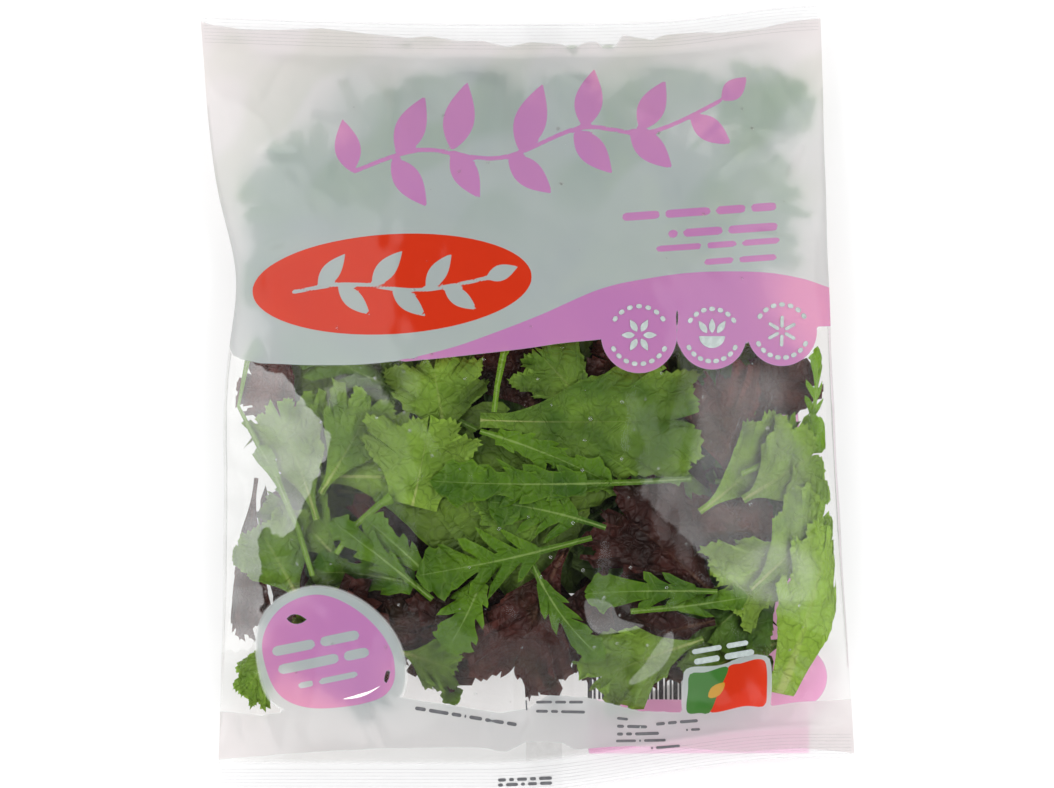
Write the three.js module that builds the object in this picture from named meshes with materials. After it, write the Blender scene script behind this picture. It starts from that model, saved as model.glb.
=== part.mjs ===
// A sealed pillow bag of salad leaves, lying on its back with the printed front up.
// Millimetres. +X is to the right of the print, +Y towards its top seal, +Z up from the table.
// The bag is one tube of film, folded at both sides and crimped flat at both ends, and full of leaves.
import * as THREE from "three";

// Places of the four corners. The tube lies a little skew, and its top end is narrower.
const TOP_LEFT_X = -123.5;
const TOP_RIGHT_X = 110.5;
const BOTTOM_LEFT_X = -117;
const BOTTOM_RIGHT_X = 123.5;
const TOP_Y = 144.5;
const BOTTOM_Y = -149;

// The side folds draw in as the tube fills, and the left one is pinched above the middle.
const LEFT_DRAW_IN = 6;
const RIGHT_DRAW_IN = 2.5;
const PINCH_DEPTH = 6.6;
const PINCH_AT = 0.662;
const PINCH_SPREAD = 0.1;

// The end seals bend: the top one dips in the middle, and each right corner rides up.
const TOP_DIP = 2.8;
const TOP_RIGHT_RISE = 4.4;
const BOTTOM_RIGHT_RISE = 13.5;
const SEAL_WIDTH = 13;
const SEAL_THICKNESS = 0.8;

// Heights over the table: of the seals, of the side folds, and of the swell above and below the folds.
const SEAL_HEIGHT = 7.5;
const FOLD_HEIGHT = 17;
const FRONT_SWELL = 34;
const BACK_SWELL = 27;

// How boxy the swell is across and along the bag. The leaves have sunk towards the bottom end.
const ACROSS_POWER = 2.4;
const ALONG_POWER = 2.6;
const SHOULDER = 0.82;
const SINK = 0.9;

// Puckers run out of the end seals, and shallow buckles cross the side folds.
const PUCKER_DEPTH = 1.7;
const PUCKER_COUNT = 6.5;
const PUCKER_REACH = 24;
const BUCKLE_DEPTH = 1.3;
const BUCKLE_COUNT = 7;

// Soft lumps where clumps of leaves push the film up: waves across, waves along, turn and height.
const LUMPS = [
  { across: 1.3, along: 0.8, turn: 0.4, height: 1.3 },
  { across: 0.7, along: 1.9, turn: 2.1, height: 1.1 },
  { across: 2.2, along: 1.4, turn: 4.0, height: 0.8 },
  { across: 1.6, along: 3.1, turn: 5.2, height: 0.6 },
];

const COLUMNS = 32;
const ROWS = 42;
const SEAL_ROWS = 2;

const { clamp, lerp, smoothstep } = THREE.MathUtils;

const LENGTH = TOP_Y - BOTTOM_Y;
const SEAL_SHARE = SEAL_WIDTH / LENGTH;

// The left and right folds, by v from 0 at the bottom end to 1 at the top end.
function leftFold(v) {
  const pinch = Math.exp(-(((v - PINCH_AT) / PINCH_SPREAD) ** 2));
  return lerp(BOTTOM_LEFT_X, TOP_LEFT_X, v) + LEFT_DRAW_IN * Math.sin(Math.PI * v) + PINCH_DEPTH * pinch;
}

function rightFold(v) {
  return lerp(BOTTOM_RIGHT_X, TOP_RIGHT_X, v) - RIGHT_DRAW_IN * Math.sin(Math.PI * v);
}

// The outer edges of the end seals, by u from 0 at the left fold to 1 at the right one.
function topEdge(u) {
  return TOP_Y - TOP_DIP * Math.sin(Math.PI * u) + TOP_RIGHT_RISE * smoothstep(u, 0.72, 0.98);
}

function bottomEdge(u) {
  return BOTTOM_Y + BOTTOM_RIGHT_RISE * smoothstep(u, 0.42, 0.92);
}

// How far the film stands off the folds here, as a share of the whole swell.
function swell(u, v) {
  const along = clamp((v - SEAL_SHARE) / (1 - 2 * SEAL_SHARE), 0, 1) ** SINK;
  const lengthwise = (1 - Math.abs(2 * along - 1) ** ALONG_POWER) ** SHOULDER;
  const crosswise = (1 - Math.abs(2 * u - 1) ** ACROSS_POWER) ** SHOULDER;
  return lengthwise * crosswise;
}

// The height of the surface halfway between front and back: the seals and folds lie on it.
function foldHeight(u, v) {
  const open = Math.sin(Math.PI * v) ** 0.7;
  const nearFold = Math.abs(2 * u - 1) ** 6;
  const buckle = BUCKLE_DEPTH * Math.sin(2 * Math.PI * BUCKLE_COUNT * v) * nearFold * open;
  return lerp(SEAL_HEIGHT, FOLD_HEIGHT, open) + buckle;
}

function pucker(u, v) {
  const fromSeal = LENGTH * Math.max(0, Math.min(v, 1 - v) - SEAL_SHARE);
  const phase = v > 0.5 ? 1.1 : 0;
  const fade = Math.exp(-fromSeal / PUCKER_REACH) * (1 - Math.exp(-fromSeal / 6));
  return PUCKER_DEPTH * Math.cos(2 * Math.PI * PUCKER_COUNT * u + phase) * fade * (1 - Math.abs(2 * u - 1) ** 4);
}

function lumps(u, v) {
  const wave = (l) => l.height * Math.cos(2 * Math.PI * (l.across * u + l.along * v) + l.turn);
  return LUMPS.reduce((sum, l) => sum + wave(l), 0);
}

// A point of the bag's front or back film.
function filmPoint(u, v, front) {
  const x = lerp(leftFold(v), rightFold(v), u);
  const y = lerp(bottomEdge(u), topEdge(u), v);
  const fold = foldHeight(u, v);
  const share = swell(u, v);
  if (front) {
    const raised = FRONT_SWELL * share + lumps(u, v) * share + pucker(u, v);
    return [x, y, fold + SEAL_THICKNESS / 2 + Math.max(0, raised)];
  }
  return [x, y, Math.max(0, fold - SEAL_THICKNESS / 2 - BACK_SWELL * share)];
}

// Rows are close together in the seals and even between them.
function rowShare(evenShare) {
  const row = Math.round(evenShare * ROWS);
  if (row <= SEAL_ROWS) return (SEAL_SHARE * row) / SEAL_ROWS;
  if (row >= ROWS - SEAL_ROWS) return 1 - (SEAL_SHARE * (ROWS - row)) / SEAL_ROWS;
  return lerp(SEAL_SHARE, 1 - SEAL_SHARE, (row - SEAL_ROWS) / (ROWS - 2 * SEAL_ROWS));
}

// A slab of unit size, with each of its points moved to its place on the film.
function makeBag() {
  const geometry = new THREE.BoxGeometry(1, 1, 1, COLUMNS, ROWS, 1);
  const points = geometry.getAttribute("position");
  for (let i = 0; i < points.count; i++) {
    const u = points.getX(i) + 0.5;
    const v = rowShare(points.getY(i) + 0.5);
    points.setXYZ(i, ...filmPoint(u, v, points.getZ(i) > 0));
  }
  geometry.computeBoundingBox();
  const middle = geometry.boundingBox.getCenter(new THREE.Vector3());
  geometry.translate(-middle.x, -middle.y, -geometry.boundingBox.min.z);
  geometry.computeVertexNormals();
  const film = new THREE.MeshStandardMaterial({ color: 0xa9b7ac, roughness: 0.35, metalness: 0 });
  const mesh = new THREE.Mesh(geometry, film);
  mesh.name = "salad_bag";
  return mesh;
}

const bagOfSalad = new THREE.Group();
bagOfSalad.add(makeBag());

export default bagOfSalad;
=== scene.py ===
# A sealed pillow bag of mixed salad leaves, lying on its back.
# Lengths are in millimetres until a mesh is made of them.
import math

import bpy
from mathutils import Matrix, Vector
from mathutils.geometry import delaunay_2d_cdt
import numpy as np


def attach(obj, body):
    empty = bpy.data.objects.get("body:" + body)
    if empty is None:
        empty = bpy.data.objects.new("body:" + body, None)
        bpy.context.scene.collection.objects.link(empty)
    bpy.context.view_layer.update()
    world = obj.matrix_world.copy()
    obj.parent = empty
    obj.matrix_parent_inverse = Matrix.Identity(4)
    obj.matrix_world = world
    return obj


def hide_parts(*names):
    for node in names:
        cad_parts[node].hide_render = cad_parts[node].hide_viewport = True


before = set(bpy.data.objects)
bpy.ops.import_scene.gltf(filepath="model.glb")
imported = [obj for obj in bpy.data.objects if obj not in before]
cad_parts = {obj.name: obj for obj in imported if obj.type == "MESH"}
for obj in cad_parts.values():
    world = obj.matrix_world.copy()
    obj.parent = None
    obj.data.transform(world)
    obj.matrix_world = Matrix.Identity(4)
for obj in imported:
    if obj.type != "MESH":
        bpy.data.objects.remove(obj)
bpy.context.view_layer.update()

# The table, the light and the camera
# The bag lies on a white table whose top glows a little, as milky glass lit from below does. Two wide
# soft boxes stand at its sides and two weaker ones at its ends. The camera looks straight down from above.
MM = 0.001
PHOTO_WIDTH = 1054
PIXEL = 0.375
BAG_MIDDLE_PIXEL = (527.5, 399.5)
SIGHT_PLANE = 17.0
PRINT_PLANE = 44.0
CAMERA_HEIGHT = 1300.0
CAMERA_X = -0.2
CAMERA_Y = 2.1
SENSOR_WIDTH = 36.0
TABLE_SIZE = 4000.0
TABLE_WHITE = (0.45, 0.45, 0.45, 1)
TABLE_GLOW = 0.48
SOFT_BOXES = {
    "soft_box_left": {"at": (-1050, 150, 760), "size": (1200, 1500), "watts": 19.0},
    "soft_box_right": {"at": (1050, 50, 760), "size": (1200, 1500), "watts": 17.5},
    "soft_box_top": {"at": (0, 1150, 800), "size": (1500, 900), "watts": 6.5},
    "soft_box_bottom": {"at": (0, -1150, 800), "size": (1500, 900), "watts": 11.0},
}
ROOM_LIGHT = (1.0, 1.0, 1.0, 1)
ROOM_STRENGTH = 0.2


def on_photo(px, py, height=PRINT_PLANE):
    """Where a point of that height lies that the photograph shows at pixel px, py."""
    nearer = (CAMERA_HEIGHT - height) / (CAMERA_HEIGHT - SIGHT_PLANE)
    x = (np.asarray(px) - BAG_MIDDLE_PIXEL[0]) * PIXEL
    y = (BAG_MIDDLE_PIXEL[1] - np.asarray(py)) * PIXEL
    return CAMERA_X + (x - CAMERA_X) * nearer, CAMERA_Y + (y - CAMERA_Y) * nearer


def add_camera():
    data = bpy.data.cameras.new("camera_over_the_bag")
    data.sensor_width = SENSOR_WIDTH
    data.lens = SENSOR_WIDTH * (CAMERA_HEIGHT - SIGHT_PLANE) / (PHOTO_WIDTH * PIXEL)
    data.clip_end = 20
    camera = bpy.data.objects.new("camera_over_the_bag", data)
    camera.location = (CAMERA_X * MM, CAMERA_Y * MM, CAMERA_HEIGHT * MM)
    bpy.context.scene.collection.objects.link(camera)
    bpy.context.scene.camera = camera


def add_soft_box(name, at, size, watts):
    data = bpy.data.lights.new(name, "AREA")
    data.shape = "RECTANGLE"
    data.size, data.size_y = size[0] * MM, size[1] * MM
    data.energy = watts
    lamp = bpy.data.objects.new(name, data)
    lamp.location = [c * MM for c in at]
    aim = np.array([0, 0, 20]) - np.array(at)
    flat = math.hypot(aim[0], aim[1])
    lamp.rotation_euler = (math.atan2(flat, -aim[2]), 0, math.atan2(aim[1], aim[0]) - math.pi / 2)
    bpy.context.scene.collection.objects.link(lamp)


def new_material(name):
    material = bpy.data.materials.new(name)
    material.use_nodes = True
    material.node_tree.nodes.clear()
    return material


def add_table():
    half = TABLE_SIZE / 2 * MM
    data = bpy.data.meshes.new("table")
    corners = [(-half, -half, 0), (half, -half, 0), (half, half, 0), (-half, half, 0)]
    data.from_pydata(corners, [], [(0, 1, 2, 3)])
    table = bpy.data.objects.new("table", data)
    bpy.context.scene.collection.objects.link(table)
    paint = new_material("white_table")
    tree = paint.node_tree
    surface = tree.nodes.new("ShaderNodeBsdfDiffuse")
    surface.inputs["Color"].default_value = TABLE_WHITE
    glow = tree.nodes.new("ShaderNodeEmission")
    glow.inputs["Strength"].default_value = TABLE_GLOW
    both = tree.nodes.new("ShaderNodeAddShader")
    tree.links.new(surface.outputs[0], both.inputs[0])
    tree.links.new(glow.outputs[0], both.inputs[1])
    out = tree.nodes.new("ShaderNodeOutputMaterial")
    tree.links.new(both.outputs[0], out.inputs["Surface"])
    data.materials.append(paint)


def light_the_room():
    world = bpy.data.worlds.new("studio")
    world.use_nodes = True
    air = world.node_tree.nodes["Background"]
    air.inputs["Color"].default_value = ROOM_LIGHT
    air.inputs["Strength"].default_value = ROOM_STRENGTH
    bpy.context.scene.world = world


add_camera()
for box_name, box in SOFT_BOXES.items():
    add_soft_box(box_name, **box)
add_table()
light_the_room()
bpy.context.scene.view_settings.view_transform = "Standard"
light_paths = bpy.context.scene.cycles
light_paths.transparent_max_bounces = 16
light_paths.max_bounces = 6
light_paths.diffuse_bounces = 3
light_paths.glossy_bounces = 2
light_paths.transmission_bounces = 4

# The tube of film
# One clear tube is folded at both sides, crimped flat at both ends and blown up by the leaves in it.
# It has the solid's shape. A share u runs from the left fold to the right one, and v from the bottom end up.
TOP_LEFT_X = -123.5
TOP_RIGHT_X = 110.5
BOTTOM_LEFT_X = -117.0
BOTTOM_RIGHT_X = 123.5
TOP_Y = 144.5
BOTTOM_Y = -149.0
LEFT_DRAW_IN = 6.0
RIGHT_DRAW_IN = 2.5
PINCH_DEPTH = 6.6
PINCH_AT = 0.662
PINCH_SPREAD = 0.1
TOP_DIP = 2.8
TOP_RIGHT_RISE = 4.4
BOTTOM_RIGHT_RISE = 13.5
SEAL_WIDTH = 13.0
SEAL_THICKNESS = 0.5
SEAL_HEIGHT = 7.5
FOLD_HEIGHT = 17.0
FRONT_SWELL = 34.0
BACK_SWELL = 27.0
ACROSS_POWER = 2.4
ALONG_POWER = 2.6
SHOULDER = 0.82
SINK = 0.9
PUCKER_DEPTH = 1.7
PUCKER_COUNT = 6.5
PUCKER_REACH = 24.0
BUCKLE_DEPTH = 1.3
BUCKLE_COUNT = 7
LUMPS = [  # waves across, waves along, turn and height
    (1.3, 0.8, 0.4, 1.3),
    (0.7, 1.9, 2.1, 1.1),
    (2.2, 1.4, 4.0, 0.8),
    (1.6, 3.1, 5.2, 0.6),
]
TOP_RISES = (0.72, 0.98)
BOTTOM_RISES = (0.42, 0.92)
PLACING_ROUNDS = 7
SIGHT_ROUNDS = 4
LENGTH = TOP_Y - BOTTOM_Y
SEAL_SHARE = SEAL_WIDTH / LENGTH


def mix(a, b, share):
    return a + (b - a) * share


def ramp(value, low, high):
    """From 0 at low to 1 at high, with a soft start and end."""
    t = np.clip((value - low) / (high - low), 0, 1)
    return t * t * (3 - 2 * t)


def left_fold(v):
    pinch = np.exp(-(((v - PINCH_AT) / PINCH_SPREAD) ** 2))
    return mix(BOTTOM_LEFT_X, TOP_LEFT_X, v) + LEFT_DRAW_IN * np.sin(np.pi * v) + PINCH_DEPTH * pinch


def right_fold(v):
    return mix(BOTTOM_RIGHT_X, TOP_RIGHT_X, v) - RIGHT_DRAW_IN * np.sin(np.pi * v)


def top_edge(u):
    return TOP_Y - TOP_DIP * np.sin(np.pi * u) + TOP_RIGHT_RISE * ramp(u, *TOP_RISES)


def bottom_edge(u):
    return BOTTOM_Y + BOTTOM_RIGHT_RISE * ramp(u, *BOTTOM_RISES)


def flat_place(u, v):
    """The x and y of a point of the film."""
    return mix(left_fold(v), right_fold(v), u), mix(bottom_edge(u), top_edge(u), v)


def film_shares(x, y):
    """The shares u and v of the film at x and y: flat_place turned round."""
    u = np.full(np.shape(x), 0.5)
    v = np.full(np.shape(x), 0.5)
    for _ in range(PLACING_ROUNDS):
        v = np.clip((y - bottom_edge(u)) / (top_edge(u) - bottom_edge(u)), -0.3, 1.3)
        u = np.clip((x - left_fold(v)) / (right_fold(v) - left_fold(v)), -0.4, 1.4)
    return u, v


def swell(u, v):
    along = np.clip((v - SEAL_SHARE) / (1 - 2 * SEAL_SHARE), 0, 1) ** SINK
    lengthwise = (1 - np.abs(2 * along - 1) ** ALONG_POWER) ** SHOULDER
    crosswise = (1 - np.abs(2 * u - 1) ** ACROSS_POWER) ** SHOULDER
    return lengthwise * crosswise


def fold_height(u, v):
    opening = np.clip(np.sin(np.pi * v), 0, 1) ** 0.7
    buckle = BUCKLE_DEPTH * np.sin(2 * np.pi * BUCKLE_COUNT * v) * np.abs(2 * u - 1) ** 6 * opening
    return mix(SEAL_HEIGHT, FOLD_HEIGHT, opening) + buckle


def pucker(u, v):
    from_seal = LENGTH * np.maximum(0, np.minimum(v, 1 - v) - SEAL_SHARE)
    phase = np.where(v > 0.5, 1.1, 0.0)
    fade = np.exp(-from_seal / PUCKER_REACH) * (1 - np.exp(-from_seal / 6))
    return PUCKER_DEPTH * np.cos(2 * np.pi * PUCKER_COUNT * u + phase) * fade * (1 - np.abs(2 * u - 1) ** 4)


def lumps(u, v):
    return sum(h * np.cos(2 * np.pi * (a * u + b * v) + turn) for a, b, turn, h in LUMPS)


def front_height(u, v):
    share = swell(u, v)
    raised = FRONT_SWELL * share + lumps(u, v) * share + pucker(u, v)
    return fold_height(u, v) + SEAL_THICKNESS / 2 + np.maximum(0, raised)


def back_height(u, v):
    return np.maximum(0, fold_height(u, v) - SEAL_THICKNESS / 2 - BACK_SWELL * swell(u, v))


def on_film(px, py):
    """The point of the front film that the photograph shows at pixel px, py."""
    height = PRINT_PLANE
    for _ in range(SIGHT_ROUNDS):
        x, y = on_photo(px, py, height)
        u, v = [np.clip(share, 0, 1) for share in film_shares(x, y)]
        height = front_height(u, v)
    return on_photo(px, py, height)


# The creases of the film and the seal on its back
# The film creases where the end seals draw it in and where the folds turn, and dents softly in between.
# Creases that catch the light are placed one by one. The seal that closes the tube lies flat under the back.
CREASE_SEED = 31
CREASES_PER_SEAL = 22
CREASES_PER_FOLD = 12
FIN_MIDDLE_X = 6.2
FIN_WIDTH = 13.5
FIN_THICKNESS = 0.3


def random_waves(rng, size, count=9):
    """A smooth random pattern with waves of about that size, between about -1 and 1."""
    way = rng.uniform(0, 2 * np.pi, count)
    beat = 2 * np.pi / size * rng.uniform(0.6, 1.5, count)
    start = rng.uniform(0, 2 * np.pi, count)

    def pattern(x, y):
        turns = beat * (x[..., None] * np.cos(way) + y[..., None] * np.sin(way)) + start
        return np.sin(turns).sum(-1) / math.sqrt(count)

    return pattern


SHOWN_CREASES = [  # from pixel, to pixel, half width and height of the creases that catch the light
    ((540, 57), (603, 95), 2.2, 1.0),
    ((622, 100), (680, 132), 2.0, 0.8),
    ((700, 182), (760, 135), 3.0, 1.1),
    ((722, 50), (778, 38), 2.0, 0.9),
    ((780, 185), (808, 125), 2.6, -1.0),
    ((258, 226), (282, 342), 3.0, 0.8),
    ((215, 208), (252, 206), 1.6, 0.7),
    ((352, 55), (400, 120), 3.5, 0.8),
    ((704, 520), (762, 432), 4.0, 1.0),
    ((690, 545), (750, 600), 1.8, 1.0),
    ((752, 600), (836, 598), 1.6, 1.1),
    ((776, 560), (836, 520), 1.4, -0.9),
    ((498, 540), (462, 430), 3.0, 0.6),
    ((262, 380), (240, 560), 2.5, 0.7),
    ((236, 700), (250, 752), 2.0, 0.8),
    ((526, 690), (530, 742), 2.2, 0.8),
]


def list_creases(rng):
    """Middle, way, half length, half width and height of each crease, at the seals and the folds too."""
    found = []
    for start, end, wide, height in SHOWN_CREASES:
        (ax, ay), (bx, by) = on_film(*start), on_film(*end)
        half = math.hypot(bx - ax, by - ay) / 2
        found.append(((ax + bx) / 2, (ay + by) / 2, math.atan2(by - ay, bx - ax), half, wide, height))
    for from_top in (False, True):
        for u in np.linspace(0.06, 0.94, CREASES_PER_SEAL) + rng.uniform(-0.02, 0.02, CREASES_PER_SEAL):
            half = rng.uniform(7, 26)
            v = SEAL_SHARE + half / LENGTH * rng.uniform(0.5, 1.0)
            way = math.pi / 2 + (0.5 - u) * 0.9 * (-1 if from_top else 1) + rng.normal(0, 0.22)
            place = flat_place(u, 1 - v if from_top else v)
            found.append((*place, way, half, rng.uniform(1.3, 2.6), rng.normal(0, 0.55)))
    for u in (0.055, 0.945):
        for v in np.linspace(0.1, 0.9, CREASES_PER_FOLD) + rng.uniform(-0.03, 0.03, CREASES_PER_FOLD):
            shift = rng.uniform(0, 0.08) * (1 if u < 0.5 else -1)
            way = rng.normal(0, 0.5)
            place = flat_place(u + shift, v)
            found.append((*place, way, rng.uniform(6, 20), rng.uniform(1.2, 2.4), rng.normal(0, 0.5)))
    return found


def crumple(seed):
    """Creases and soft dents of one side of the film, as a pattern over x and y."""
    rng = np.random.default_rng(seed)
    creased = list_creases(rng)
    broad = random_waves(rng, 34)
    small = random_waves(rng, 13)

    def pattern(u, v):
        x, y = flat_place(u, v)
        total = 0.35 * broad(x, y) + 0.12 * small(x, y)
        for at_x, at_y, way, half, wide, height in creased:
            along = ((x - at_x) * math.cos(way) + (y - at_y) * math.sin(way)) / half
            across = ((y - at_y) * math.cos(way) - (x - at_x) * math.sin(way)) / wide
            total = total + height * np.exp(-np.abs(across) ** 1.4) * np.clip(1 - along ** 2, 0, 1) ** 1.5
        from_end = np.clip(np.minimum(v, 1 - v) - SEAL_SHARE, 0, 1) * LENGTH
        from_side = np.clip(np.minimum(u, 1 - u), 0, 1) * (TOP_RIGHT_X - TOP_LEFT_X)
        return total * ramp(from_end, 0, 5) * ramp(from_side, 0, 7)

    return pattern


front_crumple = crumple(CREASE_SEED)
back_crumple = crumple(CREASE_SEED + 1)


def front_film(u, v):
    return front_height(u, v) + front_crumple(u, v)


def back_film(u, v):
    """The back film lies flat on the table in its middle, over the fin seal, and is creased round that."""
    height = back_height(u, v)
    from_fin = np.abs(flat_place(u, v)[0] - FIN_MIDDLE_X) - FIN_WIDTH / 2
    lift = FIN_THICKNESS * (1 - ramp(from_fin, 0, 4))
    return np.maximum(lift, height + back_crumple(u, v) * ramp(height, 0.5, 4))


# The leaves
# Three salads are mixed: wild rocket, green lettuce and red lettuce, all picked as baby leaves and washed.
# Each leaf is a thin solid with a thick rib, ruffled where it grew so, and bent over what lies against it.
GRID_STEP = 1.0
GRID_X = np.arange(-130, 131, GRID_STEP)
GRID_Y = np.arange(-156, 157, GRID_STEP)
AIR = 0.25
MARGIN_BLADE = 0.16
ROCKET_RIB = {"rib_width": 1.0, "rib_thickness": 1.5, "blade": 0.38}
LETTUCE_RIB = {"rib_width": 2.4, "rib_thickness": 1.8, "blade": 0.42}
ROCKET_SPREAD = {"fine": (0, 0.3, 0.65, 1), "coarse": (0, 0.5, 1)}
LETTUCE_SPREAD = {"fine": (0, 0.16, 0.32, 0.48, 0.64, 0.78, 0.9, 1), "coarse": (0, 0.35, 0.7, 1)}
TEETH = {"fine": 38, "coarse": 20}
ROWS_PER_TOOTH = 2
TOOTH_SHAPE = (0.0, 1.0)
FAR_OUTSIDE = -6.0
LOBED_PART = 0.66
FIRST_BROAD = 0.4
GREEN_TOOTH = 2.0
RED_TOOTH = 2.3
SIDE_ROOM = (0.44, 0.49)
END_ROOM = (0.38, 0.438)
CRUMB_ROOM = (0.46, 0.47)
HEAP_MIDDLE = 0.503
LEAST_ROOM = 0.5
EASING_ROUNDS = 3
FINER = {"rows": 3, "columns": 10}
NEAR_MIDDLE = 1.5


def lattice(grid, x, y):
    """The grid's value at x and y, straight between its four nearest points."""
    column = np.clip((x - GRID_X[0]) / GRID_STEP, 0, len(GRID_X) - 1.001)
    row = np.clip((y - GRID_Y[0]) / GRID_STEP, 0, len(GRID_Y) - 1.001)
    i, j = row.astype(int), column.astype(int)
    di, dj = row - i, column - j
    low = mix(grid[i, j], grid[i, j + 1], dj)
    high = mix(grid[i + 1, j], grid[i + 1, j + 1], dj)
    return mix(low, high, di)


def lowest_near(grid, reach):
    """Each cell takes the lowest value within reach cells of it."""
    for axis in (0, 1):
        grid = np.minimum.reduce([np.roll(grid, k, axis) for k in range(-reach, reach + 1)])
    return grid


def depth_inside(outline, x, y):
    """How deep points lie inside a closed outline, in millimetres, and below 0 outside it."""
    depth = np.full(x.shape, FAR_OUTSIDE)
    low, high = outline.min(0) + FAR_OUTSIDE, outline.max(0) - FAR_OUTSIDE
    near = (x > low[0]) & (x < high[0]) & (y > low[1]) & (y < high[1])
    px, py = x[near], y[near]
    nearest = np.full(px.shape, 1e9)
    inside = np.zeros(px.shape, bool)
    for (ax, ay), (bx, by) in zip(outline, np.roll(outline, -1, 0)):
        dx, dy = bx - ax, by - ay
        share = np.clip(((px - ax) * dx + (py - ay) * dy) / max(dx * dx + dy * dy, 1e-9), 0, 1)
        nearest = np.minimum(nearest, (px - ax - share * dx) ** 2 + (py - ay - share * dy) ** 2)
        if ay != by:
            inside ^= ((ay > py) != (by > py)) & (px < ax + (py - ay) / (by - ay) * dx)
    depth[near] = np.maximum(np.sqrt(nearest) * np.where(inside, 1, -1), FAR_OUTSIDE)
    return depth


def softened(grid, passes):
    for _ in range(passes):
        for axis in (0, 1):
            grid = (np.roll(grid, 1, axis) + 2 * grid + np.roll(grid, -1, axis)) / 4
    return grid


def lettuce_outline(rng, length, width, teeth, tooth_size, lobes, lobe_depth, neck):
    """Rows from the cut base to the tip: their share q, the rib's points and both margins' points."""
    rows = teeth * ROWS_PER_TOOTH + 1
    broadest = rng.uniform(0.66, 0.8)
    q = np.linspace(0, 1, rows)
    turn = np.clip((q - FIRST_BROAD) / (1 - FIRST_BROAD), 0, 1) * np.pi / 2
    rising = np.clip(q / FIRST_BROAD, 0, 1)
    past_broadest = broadest + (1 - broadest) * np.sin(turn) ** 0.85
    x = np.where(q < FIRST_BROAD, broadest * rising, past_broadest)
    widening = neck + (1 - neck) * ramp(rising, 0.12, 1.1) ** 0.85
    y = np.where(q < FIRST_BROAD, widening, np.maximum(np.cos(turn), 0.02) ** 0.7)
    rib = np.stack([length * 0.88 * q ** 1.15, np.zeros(rows)], 1)
    sides = []
    for side in (-1, 1):
        margin = np.stack([length * x, side * width / 2 * y * rng.uniform(0.85, 1.1)], 1)
        wave = np.sin(2 * np.pi * (lobes * q + rng.uniform(0, 1)))
        wave = wave + 0.8 * np.sin(2 * np.pi * (lobes * 0.43 * q + rng.uniform(0, 1)))
        grown = ramp(q, 0.12, FIRST_BROAD)[:, None]
        margin = rib + (margin - rib) * (1 + lobe_depth * wave[:, None] * grown)
        way = np.gradient(margin, axis=0)
        way = way / np.maximum(np.linalg.norm(way, axis=1), 0.01)[:, None]
        outwards = np.stack([-way[:, 1], way[:, 0]], 1) * side
        size = rng.uniform(0.25, 1, teeth + 1) * tooth_size
        saw = np.resize(TOOTH_SHAPE, rows) * np.repeat(size, ROWS_PER_TOOTH)[:rows]
        lean = saw * np.repeat(rng.normal(0.25, 0.35, teeth + 1), ROWS_PER_TOOTH)[:rows]
        sides.append(margin + (outwards * saw[:, None] + way * lean[:, None]) * grown)
    return q, rib, sides


def rocket_outline(rng, length, width, lobes, lobe_depth, stalk):
    """A long stalk, pairs of lobes that point forward, and a long end lobe, in shares of the length."""
    rib_x = [0.0, 0.5 * stalk, stalk]
    outline = {side: [(0.0, 1.0), (0.5 * stalk, 1.0), (stalk, 1.3)] for side in (-1, 1)}
    pitch = (1 - stalk) * LOBED_PART / lobes
    half = width / 2 / length
    for i in range(lobes):
        root = stalk + pitch * (i + 0.45)
        rib_x += list(root + pitch * np.array([-0.34, -0.16, -0.03, 0.09, 0.2, 0.36]))
        growth = 0.62 + 0.38 * math.sin(math.pi * (i + 0.8) / (lobes + 0.3))
        for side in (-1, 1):
            reach = half * growth * rng.uniform(0.75, 1.2) * mix(0.6, 1.0, lobe_depth)
            lean = pitch * rng.uniform(0.3, 0.75) + reach * 0.4
            web = half * (mix(0.42, 0.16, lobe_depth) + 0.06 * i / lobes)
            wide = pitch * rng.uniform(0.15, 0.26) * mix(1.5, 1.0, lobe_depth)
            outline[side] += [
                (root - 0.36 * pitch, web * length),
                (root + 0.42 * lean - wide, (0.25 * web + 0.5 * reach) * length),
                (root + lean - 0.8 * wide, 0.95 * reach * length),
                (root + lean + 0.5 * wide, reach * length),
                (root + 0.7 * lean + wide, 0.62 * reach * length),
                (root + 0.42 * pitch, web * 1.12 * length),
            ]
    start = stalk + pitch * (lobes + 0.15)
    for k in np.linspace(0.08, 1, 9):
        rib_x.append(mix(start, 1, k * 0.92))
        bulge = math.sin(math.pi * min(1, k * 0.94 + 0.06)) ** 0.75 * 0.62 + (1 - k) * 0.16
        for side in (-1, 1):
            knob = 1 + 0.16 * math.sin(k * 15 + side)
            outline[side].append((mix(start, 1, k), max(0.3, half * bulge * knob * length)))
    rib = np.stack([length * np.array(rib_x), np.zeros(len(rib_x))], 1)
    sides = []
    for side in (-1, 1):
        points = np.array(outline[side])
        sides.append(np.stack([length * points[:, 0], side * points[:, 1]], 1))
    return np.linspace(0, 1, len(rib_x)), rib, sides


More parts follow.
